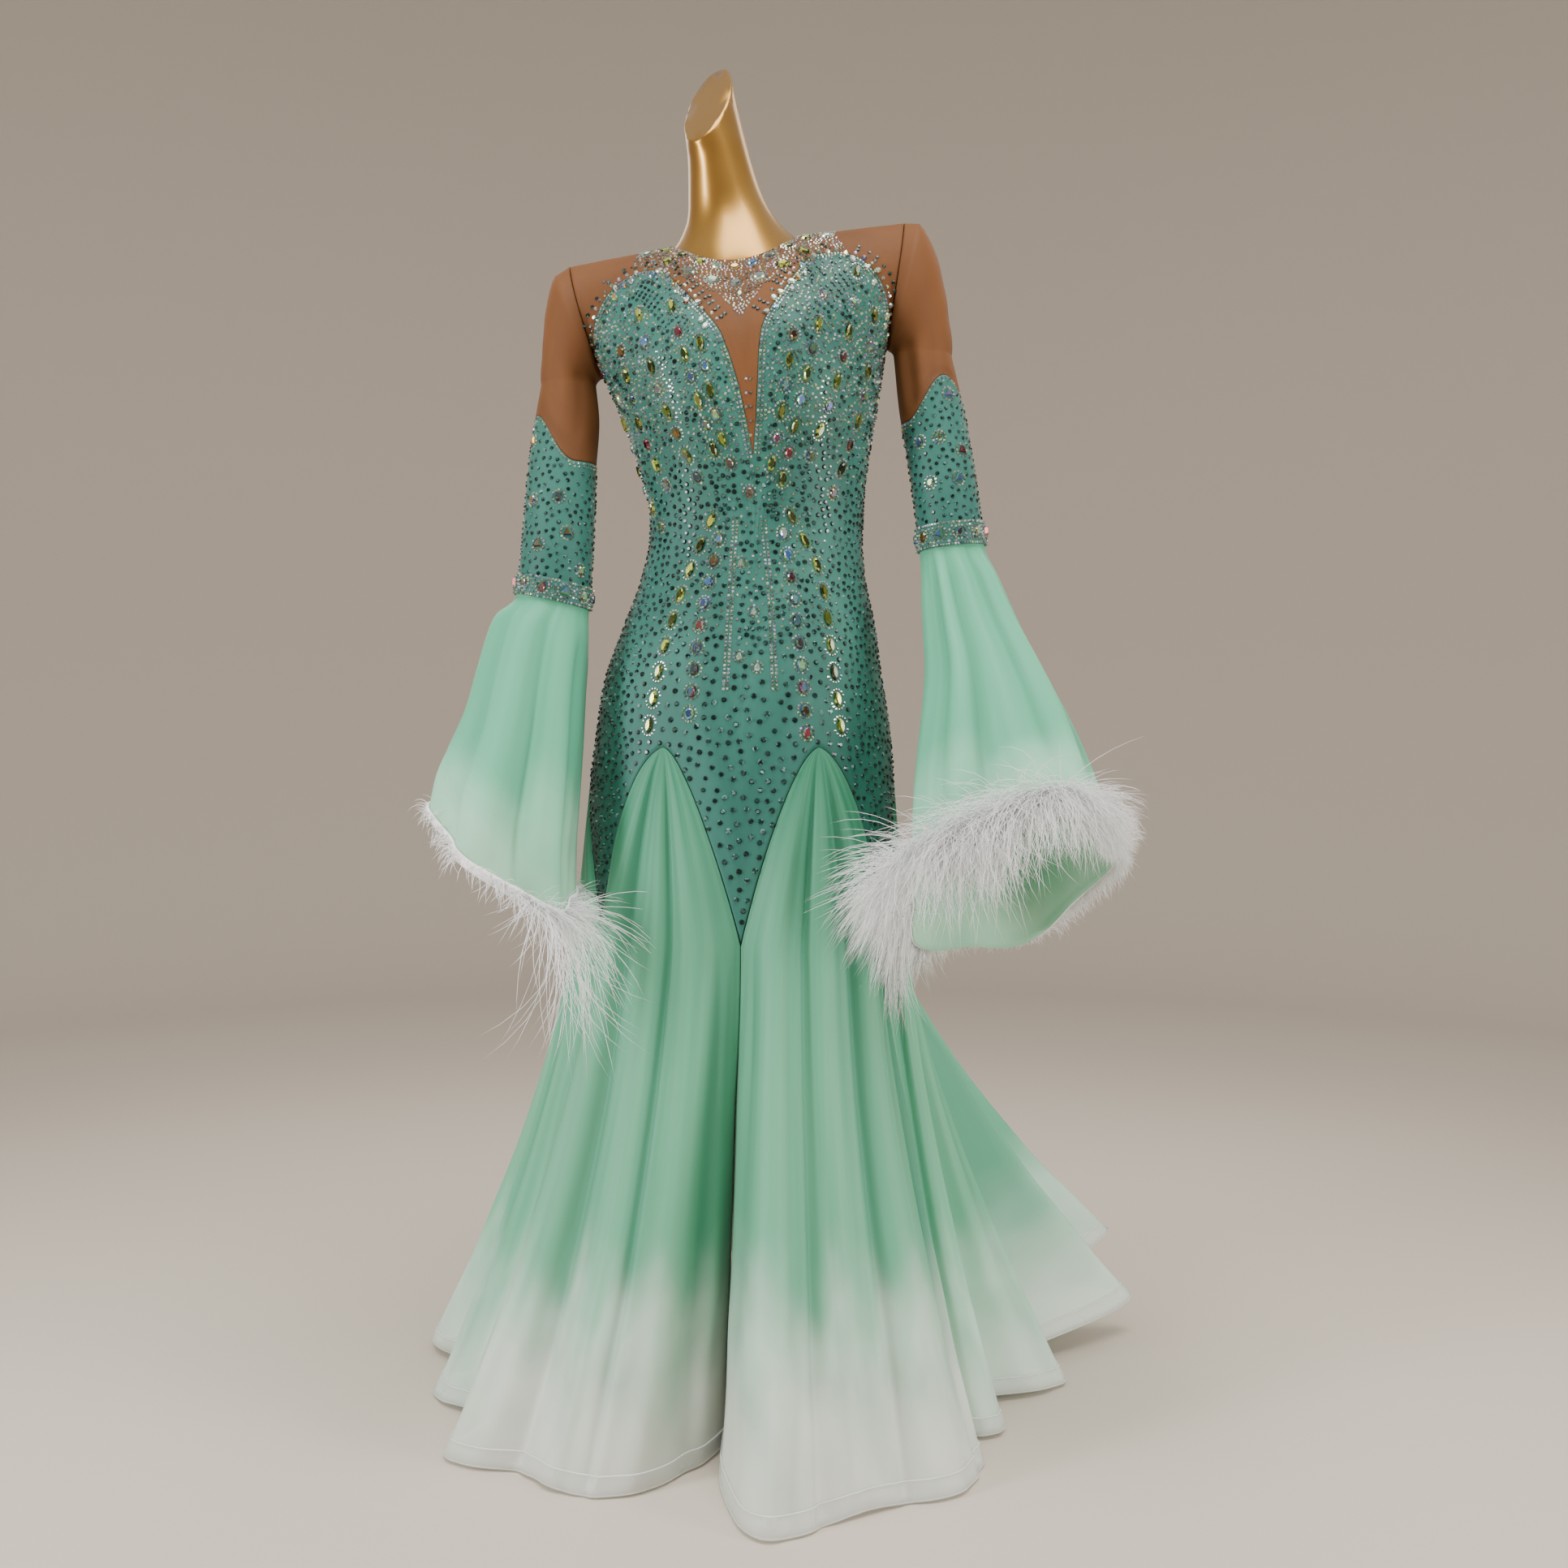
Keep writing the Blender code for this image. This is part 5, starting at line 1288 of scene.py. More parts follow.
def joined_piece(name, parts, finish, slot_name):
    """One flat-faced mesh of many copies; each part is (shape, matrix, tint)."""
    points, faces, tints = [], [], []
    shapes = {}
    for shape, matrix, tint in parts:
        if id(shape) not in shapes:
            shape.verts.index_update()
            shapes[id(shape)] = ([v.co.copy() for v in shape.verts],
                                 [tuple(v.index for v in face.verts) for face in shape.faces])
        corners, loops = shapes[id(shape)]
        start = len(points)
        points.extend(matrix @ corner for corner in corners)
        faces.extend(tuple(start + k for k in loop) for loop in loops)
        tints.extend([tint] * len(corners))
    data = tinted_mesh(name, points, faces, tints)
    data.shade_flat()
    return placed_piece(name, data, finish, slot_name)


# ---------------------------------------------------------------- cut stones
def cut_stone(sides, height, table, outline=None):
    """Flat-backed stone one unit across, its back at z 0; the outline reshapes x and y of each corner."""
    mesh = bmesh.new()
    bmesh.ops.create_cone(mesh, cap_ends=True, segments=sides, radius1=0.5, radius2=0.5 * table, depth=height)
    bmesh.ops.translate(mesh, verts=mesh.verts, vec=(0.0, 0.0, 0.5 * height))
    if outline is not None:
        for vert in mesh.verts:
            vert.co.x, vert.co.y = outline(vert.co.x, vert.co.y)
    return mesh


def crowned(mesh, share, rise):
    """Adds a second tier of facets round the table."""
    top = max(mesh.faces, key=lambda face: face.calc_center_median().z)
    bmesh.ops.inset_individual(mesh, faces=[top], thickness=share)
    for vert in top.verts:
        vert.co.z += rise
    return mesh


def navette_outline(x, y):
    return 0.50 * x * (1.0 - 1.1 * y * y), y


def drop_outline(x, y):
    return 0.66 * x * (1.0 - 1.0 * y), y


# each cut: its mesh, the room it takes and its halo's half width, as shares of its length
Cut = namedtuple("Cut", "mesh reach wide")
CUTS_OF_STONE = {
    "chaton": Cut(cut_stone(7, 0.36, 0.55), 0.5, 0.5),
    "small": Cut(cut_stone(6, 0.42, 0.50), 0.5, 0.5),
    "navette": Cut(crowned(cut_stone(12, 0.16, 0.80, navette_outline), 0.07, 0.07), 0.38, 0.36),
    "oval": Cut(crowned(cut_stone(12, 0.18, 0.80, lambda x, y: (0.74 * x, y)), 0.09, 0.08), 0.44, 0.44),
    "drop": Cut(crowned(cut_stone(12, 0.18, 0.80, drop_outline), 0.08, 0.08), 0.42, 0.44),
    "triangle": Cut(crowned(cut_stone(3, 0.20, 0.82), 0.06, 0.09), 0.42, 0.48)}


class Pavement:
    """The stones laid so far, whether there is room for one more, and the draw of their tints."""

    CELL = 0.012

    def __init__(self, draw):
        self.draw = draw
        self.cells = {}
        self.parts = {}

    def near(self, point):
        key = [int(c // self.CELL) for c in point]
        for i in (-1, 0, 1):
            for j in (-1, 0, 1):
                for k in (-1, 0, 1):
                    yield from self.cells.get((key[0] + i, key[1] + j, key[2] + k), ())

    def has_room(self, point, reach):
        return all((point - other).length > reach + far for other, far in self.near(point))

    def lay(self, kind, shape, spot, size, up=UP, gap=None):
        """Lays a stone, given a gap only if there is room for it; up turns it in the cloth."""
        tint = self.draw.random()
        reach = size * CUTS_OF_STONE[shape].reach
        if gap is not None:
            reach = max(reach, 0.5 * gap)
            if not self.has_room(spot.point, reach):
                return
        key = tuple(int(c // self.CELL) for c in spot.point)
        self.cells.setdefault(key, []).append((spot.point, reach))
        x = up.cross(spot.normal).normalized()
        y = spot.normal.cross(x)
        base = spot.point - spot.normal * 0.0002
        matrix = Matrix(((x.x * size, y.x * size, spot.normal.x * size, base.x),
                         (x.y * size, y.y * size, spot.normal.y * size, base.y),
                         (x.z * size, y.z * size, spot.normal.z * size, base.z), (0.0, 0.0, 0.0, 1.0)))
        self.parts.setdefault(kind, []).append((CUTS_OF_STONE[shape].mesh, matrix, tint))

    def lay_speck(self, spot, size, gap):
        """Lays one of the small pale stones if there is room for it."""
        self.lay("aurora", "small", spot, size, gap=gap)


Spot = namedtuple("Spot", "point normal")


def beside(spot, right, up, x, y):
    """A spot x to the right and y up from another one, in the cloth's plane."""
    return Spot(spot.point + right * x + up * y, spot.normal)


def cloth_axes(spot, up_hint):
    right = up_hint.cross(spot.normal).normalized()
    return right, spot.normal.cross(right).normalized()


HALO_STONE = 0.0033
HALO_PITCH = 0.0037
HALO_GAP = 0.0018           # from a large stone's edge to the middle of its halo's stones


def set_stone(stones, kind, shape, spot, long_way, length, with_halo=True):
    """A large stone with its long way in the cloth, and small stones round it."""
    stones.lay(kind, shape, spot, length, up=long_way)
    if not with_halo:
        return
    half_long, half_wide = 0.5 * length + HALO_GAP, CUTS_OF_STONE[shape].wide * length + HALO_GAP
    count = max(8, int(pi * (half_long + half_wide) / HALO_PITCH))
    right, up = cloth_axes(spot, long_way)
    for k in range(count):
        turn = 2.0 * pi * k / count
        place = beside(spot, right, up, half_wide * sin(turn), half_long * cos(turn))
        stones.lay_speck(place, HALO_STONE, HALO_STONE * 0.70)


def body_spot(place, level, face="front"):
    return Spot(body_point(place, level, face), body_normal(place, level, face))


def narrowed(low, high, steps, is_short):
    """A range cut in half again and again round the value where is_short turns false."""
    for _ in range(steps):
        middle = 0.5 * (low + high)
        if is_short(middle):
            low = middle
        else:
            high = middle
    return low, high


def front_spot(x, level):
    """Spot on the front of the bodice, or of the yoke, at an x and a level."""
    low, _ = narrowed(-1.0, 1.0, 22, lambda place: body_point(place, level, "front").x < x)
    return body_spot(low, level)


def along(knots, spacing):
    """Evenly spaced (x, level, direction) along a smooth curve through (level, x) knots, top to bottom."""
    table = Table("level x", sorted(knots))
    top, bottom = table.keys[-1], table.keys[0]
    found = []
    walked = spacing
    steps = 400
    last = None
    for k in range(steps + 1):
        level = lerp(top, bottom, k / steps)
        here = (table.at(level).x, level)
        if last is not None:
            walked += hypot(here[0] - last[0], here[1] - last[1])
        if walked >= spacing:
            ahead = table.at(level - 0.004).x
            found.append((here[0], level, Vector((here[0] - ahead, 0.0, 0.004)).normalized()))
            walked = 0.0
        last = here
    return found


# strings of large stones down the front, as (level, x) knots of each curve
OUTER_STRINGS = [[(1.034, -0.036), (0.948, -0.071), (0.860, -0.0945), (0.800, -0.105)],
                 [(1.035, 0.054), (0.968, 0.087), (0.873, 0.100), (0.786, 0.111)]]
INNER_STRINGS = [[(1.012, -0.027), (0.920, -0.047), (0.798, -0.061)],
                 [(1.017, 0.0455), (0.920, 0.060), (0.790, 0.0715)]]
DOUBLE_ROWS = [[(1.035, -0.0085), (0.940, -0.014), (0.842, -0.019)],
               [(1.035, 0.022), (0.940, 0.031), (0.842, 0.0356)]]
# rows that fan over the bust from its upper edge towards the waist
BUST_ROWS = [[(1.262, -0.116), (1.170, -0.088), (1.075, -0.048)],
             [(1.235, -0.137), (1.150, -0.116), (1.060, -0.078)],
             [(1.268, -0.078), (1.190, -0.056), (1.090, -0.026)],
             [(1.190, -0.142), (1.120, -0.128), (1.030, -0.092)],
             [(1.282, 0.128), (1.190, 0.108), (1.080, 0.068)],
             [(1.262, 0.090), (1.180, 0.070), (1.075, 0.044)],
             [(1.245, 0.147), (1.160, 0.134), (1.060, 0.100)],
             [(1.225, 0.056), (1.150, 0.044), (1.080, 0.030)],
             [(1.226, -0.046), (1.140, -0.028), (1.070, -0.006)]]


def lay_strings(stones):
    for knots in OUTER_STRINGS:
        for x, level, way in along(knots, 0.0298):
            set_stone(stones, "olive", "navette", front_spot(x, level), way, 0.0190)
    for knots in INNER_STRINGS:
        for x, level, way in along(knots, 0.0245):
            set_stone(stones, "fire", "oval", front_spot(x, level), way, 0.0142)
    for knots in DOUBLE_ROWS:
        for x, level, _ in along(knots, 0.0043):
            for shift in (-0.0022, 0.0022):
                stones.lay_speck(front_spot(x + shift, level), 0.0040, 0.0030)
    for r, knots in enumerate(BUST_ROWS):
        for k, (x, level, way) in enumerate(along(knots, 0.0270)):
            kind, shape, length = (("olive", "navette", 0.0185), ("fire", "oval", 0.0128))[(k + r) % 2]
            set_stone(stones, kind, shape, front_spot(x, level), way, length)
    set_stone(stones, "fire", "oval", front_spot(0.0075, 1.062), UP, 0.0125)
    for x, level in ((-0.002, 0.985), (0.012, 0.930), (-0.004, 0.880), (0.016, 0.868)):
        set_stone(stones, "clear", "drop", front_spot(x, level), Vector((0.1, 0.0, 1.0)), 0.0095)


def seam_walk(reach, spacing):
    """Evenly spaced spots along the sweetheart seam: place, spot and the seam's direction."""
    found = []
    walked = spacing
    previous = None
    steps = 700
    for k in range(steps + 1):
        place = lerp(-reach, reach, k / steps)
        level = SWEETHEART.at(abs(place)).level
        point = body_point(place, level, "front")
        if previous is not None:
            walked += (point - previous).length
            if walked >= spacing:
                spot = Spot(point, body_normal(place, level, "front"))
                found.append((place, spot, (point - previous).normalized()))
                walked = 0.0
        previous = point
    return found


def inward_of(place, spot, way):
    """Direction in the cloth from the sweetheart seam into the cup."""
    across = way.cross(spot.normal).normalized()
    if abs(place) < 0.10:
        return across if (across.x > 0.0) == (place > 0.0) else -across
    return -across if across.z > 0.0 else across


def step_off(place, offset):
    """The front's spot a small step off the sweetheart seam."""
    level = SWEETHEART.at(abs(place)).level
    here = body_point(place, level, "front")
    on = (body_point(place - 0.004, level, "front") - here) / -0.004
    up = (body_point(place, level - 0.002, "front") - here) / -0.002
    a, b, c = on.dot(on), on.dot(up), up.dot(up)
    p, q = on.dot(offset), up.dot(offset)
    place += (p * c - q * b) / (a * c - b * b)
    level += (q * a - p * b) / (a * c - b * b)
    return body_spot(place, level)


CUP_EDGE_STONES = (("oval", 0.0092), ("drop", 0.0100), ("chaton", 0.0066), ("oval", 0.0078))


def lay_bust_edge(stones):
    """Small stones along the sweetheart seam, large pale ones over it and dark dots on the net."""
    draw = stones.draw
    for place, spot, way in seam_walk(0.995, 0.0038):
        inward = inward_of(place, spot, way)
        for offset in (0.0022, 0.0060):
            stones.lay_speck(step_off(place, inward * offset), 0.0036, 0.0028)
    for place, spot, way in seam_walk(0.985, 0.0098):
        if abs(place) < 0.11:
            continue
        inward = inward_of(place, spot, way)
        up = -inward
        out = draw.uniform(-0.0100, 0.0045)
        shape, length = draw.choice(CUP_EDGE_STONES)
        lean = (up + way * draw.uniform(-0.9, 0.9)).normalized()
        lifted = step_off(place, up * out)
        lifted = Spot(lifted.point + lifted.normal * 0.0007, lifted.normal)
        stones.lay(draw.choice(("clear", "clear", "fire")), shape, lifted, length, up=lean)
        tall = draw.choice((1, 2, 3, 3))
        for k in range(tall):
            beyond = up * (0.0050 + max(out, 0.0) + 0.0054 * k) + way * (0.0012 * k * draw.uniform(-1.0, 1.0))
            stones.lay("dark" if k else "aurora", "chaton", step_off(place, beyond), 0.0050, gap=0.0042)
    for place, spot, way in seam_walk(0.99, 0.0009):
        inward = inward_of(place, spot, way)
        near_top = smooth((abs(place) - 0.10) / 0.08)
        out = draw.triangular(-0.0060 * near_top, 0.0150, 0.004)
        stones.lay("aurora" if draw.random() < 0.65 else "dark", "small",
                   step_off(place, inward * out), draw.uniform(0.0032, 0.0042), gap=0.0035)
    for level in (1.122, 1.137, 1.152, 1.167, 1.182):
        for x in (-0.0024, 0.0024):
            stones.lay_speck(front_spot(0.0065 + x, level), 0.0036, 0.0024)


def neck_spot(place, drop):
    """Spot on the net below the neckline; beyond its ends it runs on along the shoulder."""
    column = place * NECK_PLACE
    start = body_point(column, TOP_LEVEL, "front")
    _, high = narrowed(TOP_LEVEL - 0.125, TOP_LEVEL, 18,
                       lambda level: start.z - body_point(column, level, "front").z > drop)
    return body_spot(column, high)


def lay_necklace(stones):
    """Collar of large stones in two rows, filled in with small ones, and a pointed fringe at its middle."""
    draw = stones.draw
    flat = Vector((1.0, 0.0, 0.12))
    for k in range(11):
        place = -1.30 + 2.60 * k / 10
        kind = draw.choice(("clear", "olive", "clear", "fire"))
        set_stone(stones, kind, "oval", neck_spot(place, 0.0100), flat, 0.0128)
    for k in range(7):
        place = -0.92 + 1.84 * k / 6
        drop = 0.0325 - 0.0055 * abs(place)
        kind = draw.choice(("clear", "clear", "olive"))
        set_stone(stones, kind, "oval", neck_spot(place, drop), flat, 0.0150)
    for k in range(68):
        place = -1.42 + 2.84 * k / 67
        stones.lay_speck(neck_spot(place, 0.0020), 0.0032, 0.0024)
        drop = 0.0465 - 0.012 * abs(place) + 0.0020 * sin(place * 15.0)
        stones.lay("dark", "small", neck_spot(place, drop), 0.0030, gap=0.0026)
    for _ in range(3200):
        place = draw.uniform(-1.42, 1.42)
        deepest = 0.0455 - 0.012 * abs(place)
        stones.lay_speck(neck_spot(place, draw.uniform(0.004, deepest)), draw.uniform(0.0030, 0.0037), 0.0030)
    middle = neck_spot(0.06, 0.0330).point
    for _ in range(700):
        down = draw.random()
        teeth = 0.0022 * abs(sin(down * 14.0))
        half = 0.026 * (1.0 - down) ** 1.3 + 0.0014 + teeth
        x = middle.x + draw.uniform(-half, half)
        level = lerp(0.0, -0.036, down)
        stones.lay_speck(front_spot(x, TOP_LEVEL - 0.056 + level), draw.uniform(0.0030, 0.0036), 0.0031)
    set_stone(stones, "clear", "oval", front_spot(middle.x, TOP_LEVEL - 0.062), UP, 0.0100, with_halo=False)


# curved rows of dark stones, three abreast, down both sides of the opening and on to the strings
DARK_ROWS = [[(1.245, -0.066), (1.170, -0.042), (1.100, -0.017), (1.052, -0.015), (1.020, -0.040)],
             [(1.245, 0.078), (1.170, 0.052), (1.100, 0.029), (1.052, 0.029), (1.022, 0.058)]]
# dark stones along the crown of each cup
CROWN_ROWS = [[(1.283, -0.120), (1.262, -0.088), (1.225, -0.058)],
              [(1.283, 0.128), (1.262, 0.098), (1.225, 0.070)]]


def lay_dark_rows(stones):
    draw = stones.draw
    for knots in DARK_ROWS:
        for x, level, way in along(knots, 0.0056):
            spot = front_spot(x, level)
            side, ahead = cloth_axes(spot, way)
            for shift, step in ((-0.0060, 0.0), (0.0, 0.0028), (0.0060, 0.0)):
                place = beside(spot, side, ahead, shift + draw.gauss(0.0, 0.0005),
                               step + draw.gauss(0.0, 0.0005))
                stones.lay("dark", "chaton", place, draw.uniform(0.0054, 0.0062), gap=0.0052)
    for knots in CROWN_ROWS:
        for x, level, way in along(knots, 0.0056):
            spot = front_spot(x, level)
            side, _ = cloth_axes(spot, way)
            for shift in (-0.0085, -0.0028, 0.0028, 0.0085):
                place = Spot(spot.point + side * (shift + draw.gauss(0.0, 0.0005)), spot.normal)
                stones.lay("dark", "chaton", place, 0.0045, gap=0.0045)


def bust_share(place, level):
    """How thickly the small pale stones lie: 1 on the bust, thinning down to the waist and at the sides."""
    upper = smooth((level - 1.050) / 0.10)
    middle = 0.48 * bell_curve((place - 0.05) / 0.24) * smooth((level - 0.83) / 0.12)
    return max(upper * (1.0 - 0.25 * smooth((abs(place) - 0.75) / 0.25)), middle)


def lay_bodice(stones, face, tries):
    draw = stones.draw
    points, edge, _ = PANELS[face]
    widest = points[-1][0]
    for _ in range(tries):
        place = draw.uniform(-0.992, 0.992)
        level = draw.uniform(TIP_Z, 1.305)
        bottom = lower_level(place * widest, points) + 0.0045 + 0.006 * (abs(place) < 0.05)
        if level < bottom or level > edge.at(abs(place)).level - 0.0065:
            continue
        share = bust_share(place, level) if face == "front" else 0.25 * smooth((level - 1.15) / 0.10)
        pale = draw.random() < 0.68 * share
        point = body_point(place, level, face)
        beside_it = smooth((abs(place) - 0.30) / 0.30)
        lower = smooth((0.93 - level) / 0.10)
        tight = lerp(lerp(0.0070, 0.0108, lower), 0.0074, beside_it)
        tight = lerp(tight, 0.0041 if pale else 0.0054, share)
        if not stones.has_room(point, 0.5 * tight):
            continue
        spot = Spot(point, body_normal(place, level, face))
        if pale:
            stones.lay_speck(spot, draw.uniform(0.0035, 0.0043), tight)
        else:
            size = lerp(lerp(0.0064, 0.0068, lower), 0.0058, max(beside_it, share))
            stones.lay("dark", "chaton", spot, size * draw.uniform(0.93, 1.05), gap=tight)


def arm_spot(table, side, angle, level, waves=0):
    """Spot on a sleeve, a cuff or a bell."""
    here = ring_point(table, side, angle, level, waves)
    round_it = ring_point(table, side, angle + 1.0, level, waves) - here
    low, high = max(level - 0.002, table.keys[0]), min(level + 0.002, table.keys[-1])
    up = ring_point(table, side, angle, high, waves) - ring_point(table, side, angle, low, waves)
    return Spot(here, (-side_sign(side) * round_it.cross(up)).normalized())


# large stones of the lower sleeves: angle, share down and shape
SLEEVE_STONES = {
    "left": ((30.0, 0.16, "triangle"), (95.0, 0.36, "oval"), (48.0, 0.52, "oval"),
             (112.0, 0.62, "triangle"), (66.0, 0.80, "triangle"), (140.0, 0.90, "oval"),
             (230.0, 0.3, "oval"), (275.0, 0.7, "triangle"), (320.0, 0.45, "oval")),
    "right": ((60.0, 0.13, "triangle"), (128.0, 0.26, "drop"), (92.0, 0.38, "oval"),
              (52.0, 0.52, "triangle"), (120.0, 0.66, "oval"), (68.0, 0.72, "triangle"),
              (230.0, 0.35, "oval"), (275.0, 0.7, "triangle"), (320.0, 0.4, "oval"))}


def lay_sleeve(stones, side):
    draw, arm, cuff = stones.draw, ARM[side], CUFF[side]
    low = cuff.level + cuff.half_height + 0.003
    for angle, down, shape in SLEEVE_STONES[side]:
        spot = arm_spot(arm, side, angle, lerp(lower_edge(side, angle), low, down))
        set_stone(stones, "fire", shape, spot, UP, 0.0118)
    for offset in (0.0022, 0.0053):
        for k in range(80):
            angle = 360.0 * (k + 0.5 * (offset > 0.003)) / 80
            spot = arm_spot(arm, side, angle, lower_edge(side, angle) - offset * 1.15)
            stones.lay_speck(spot, 0.0034, 0.0028)
    for _ in range(5200):
        angle = draw.uniform(0.0, 360.0)
        level = draw.uniform(low, lower_edge(side, angle) - 0.008)
        spot = arm_spot(arm, side, angle, level)
        if stones.has_room(spot.point, 0.0038):
            stones.lay("dark", "chaton", spot, draw.uniform(0.0048, 0.0055), gap=0.0074)


def cuff_spot(side, angle, share):
    cuff = CUFF[side]
    top = arm_spot(ARM[side], side, angle, cuff.level + cuff.half_height)
    bottom = arm_spot(BELL[side], side, angle, cuff.level - cuff.half_height, BELL_WAVES)
    normal = (top.normal + bottom.normal).normalized()
    return Spot(top.point.lerp(bottom.point, share) + normal * (BAND_WALL + 2.0 * LAID_GAP), normal)


def lay_cuff(stones, side):
    draw = stones.draw
    for k in range(11):
        shape = ("triangle", "oval", "drop")[k % 3]
        set_stone(stones, "fire", shape, cuff_spot(side, 16.0 + 32.7 * k, 0.48), Vector((0.4, 0.0, 1.0)),
                  0.0125)
    for share in (0.05, 0.95):
        for k in range(72):
            stones.lay_speck(cuff_spot(side, 5.0 * k, share), 0.0034, 0.0028)
    for _ in range(2600):
        spot = cuff_spot(side, draw.uniform(0.0, 360.0), draw.uniform(0.1, 0.9))
        stones.lay_speck(spot, draw.uniform(0.0031, 0.0038), 0.0032)


STONE_FINISH = {"dark": (DARK_STONE, "dark_stone"), "aurora": (AURORA_STONE, "clear_stone"),
                "olive": (OLIVE_STONE, "dark_stone"), "fire": (FIRE_STONE, "clear_stone"),
                "clear": (CLEAR_STONE, "clear_stone")}


def stone_pieces(place_name, stones):
    made = []
    for kind, parts in stones.parts.items():
        finish, slot_name = STONE_FINISH[kind]
        made.append(joined_piece(f"stones_{kind}_{place_name}", parts, finish, slot_name))
    return made


# ---------------------------------------------------------------- feathers
BARB_SIDES = 3


def barb_line(root, heading, length, steps, droop, curl):
    """Points down one barb: it leaves along its heading, sinks under its weight and curls to one side."""
    way = heading.normalized()
    side = Vector((way.y, -way.x, 0.0))
    side = side.normalized() if side.length > 0.01 else Vector((1.0, 0.0, 0.0))
    points = [root]
    for k in range(steps):
        share = (k + 1.0) / steps
        way = way + Vector((0.0, 0.0, -droop / steps)) + side * (curl * share / steps)
        way.normalize()
        points.append(points[-1] + way * (length / steps))
    return points


def add_barb(points, faces, line, radius):
    """A three-sided taper round the line, closed at both ends."""
    start = len(points)
    last = len(line) - 1
    for k, centre in enumerate(line[:-1]):
        way = (line[k + 1] - centre).normalized()
        x = way.cross(Vector((0.3, 0.2, 0.93))).normalized()
        y = way.cross(x)
        size = radius * (1.0 - 0.75 * k / last)
        for j in range(BARB_SIDES):
            turn = 2.0 * pi * j / BARB_SIDES
            points.append(centre + (x * cos(turn) + y * sin(turn)) * size)
    points.append(line[-1])
    for k in range(last - 1):
        a, b = start + BARB_SIDES * k, start + BARB_SIDES * (k + 1)
        for j in range(BARB_SIDES):
            n = (j + 1) % BARB_SIDES
            faces.append((a + j, b + j, b + n, a + n))
    a = start + BARB_SIDES * (last - 1)
    tip = start + BARB_SIDES * last
    for j in range(BARB_SIDES):
        faces.append((a + j, tip, a + (j + 1) % BARB_SIDES))
    faces.append(tuple(start + j for j in range(BARB_SIDES)))


def barb_length(side, angle):
    if side == "left":
        outer = bell_curve(turn_off(angle, 0.0) / 60.0)
        return 0.038 - 0.012 * outer + 0.150 * bell_curve(turn_off(angle, 142.0) / 14.0)
    near = bell_curve(turn_off(angle, 112.0) / 48.0)
    tail = 0.040 * bell_curve(turn_off(angle, 168.0) / 18.0)
    tail += 0.080 * bell_curve(turn_off(angle, 206.0) / 15.0)
    return 0.028 + 0.098 * near + tail


def barb_density(side, angle):
    if side == "left":
        return 0.22 + 1.0 * bell_curve(turn_off(angle, 143.0) / 15.0)
    return 0.30 + 0.80 * bell_curve(turn_off(angle, 100.0) / 78.0)


STRIP_HEIGHT = {"left": 0.011, "right": 0.012}


def rim_spot(side, angle, lift):
    """Spot on the outside of the bell's rim, lift above its edge."""
    table = BELL[side]
    height = table.keys[-1] - table.keys[0]
    spot = arm_spot(table, side, angle, table.keys[0] + lift, BELL_WAVES)
    out = bell_folds(side, angle, 1.0 - lift / height) + STRIP_WALL + LAID_GAP
    return Spot(spot.point + spot.normal * out, spot.normal)


def feather_mesh(name, lines, radius):
    points, faces, tints = [], [], []
    for line, tint in lines:
        before = len(points)
        add_barb(points, faces, line, radius)
        tints.extend([tint] * (len(points) - before))
    data = tinted_mesh(name, points, faces, tints)
    data.shade_smooth()
    return placed_piece(name, data, FEATHER_WHITE, "white_feather")


FEATHER_COUNTS = {"left": (520, 620), "right": (4600, 3900)}      # long barbs, short down


def barb_heading(spot, rise, sway):
    out = Vector((spot.normal.x, spot.normal.y, 0.0)).normalized()
    round_it = Vector((-out.y, out.x, 0.0))
    return out * cos(radians(rise)) + Vector((0.0, 0.0, sin(radians(rise)))) + round_it * sway


def barb_rise(angle, draw):
    """Angle above level at which a barb leaves the rim: all ways in front, upwards and outwards behind."""
    behind = bell_curve(turn_off(angle, 265.0) / 62.0)
    outer = bell_curve(turn_off(angle, 5.0) / 38.0)
    rise = lerp(draw.triangular(-82.0, 86.0, -25.0), draw.uniform(5.0, 75.0), behind)
    return lerp(rise, draw.uniform(-88.0, -40.0) if draw.random() < 0.65 else draw.uniform(40.0, 80.0), outer)


def barb_spots(side, count, draw):
    densest = max(barb_density(side, a) for a in range(0, 360, 5))
    while count:
        angle = draw.uniform(0.0, 360.0)
        if draw.random() * densest <= barb_density(side, angle):
            count -= 1
            yield angle, rim_spot(side, angle, draw.uniform(0.001, STRIP_HEIGHT[side] - 0.001))


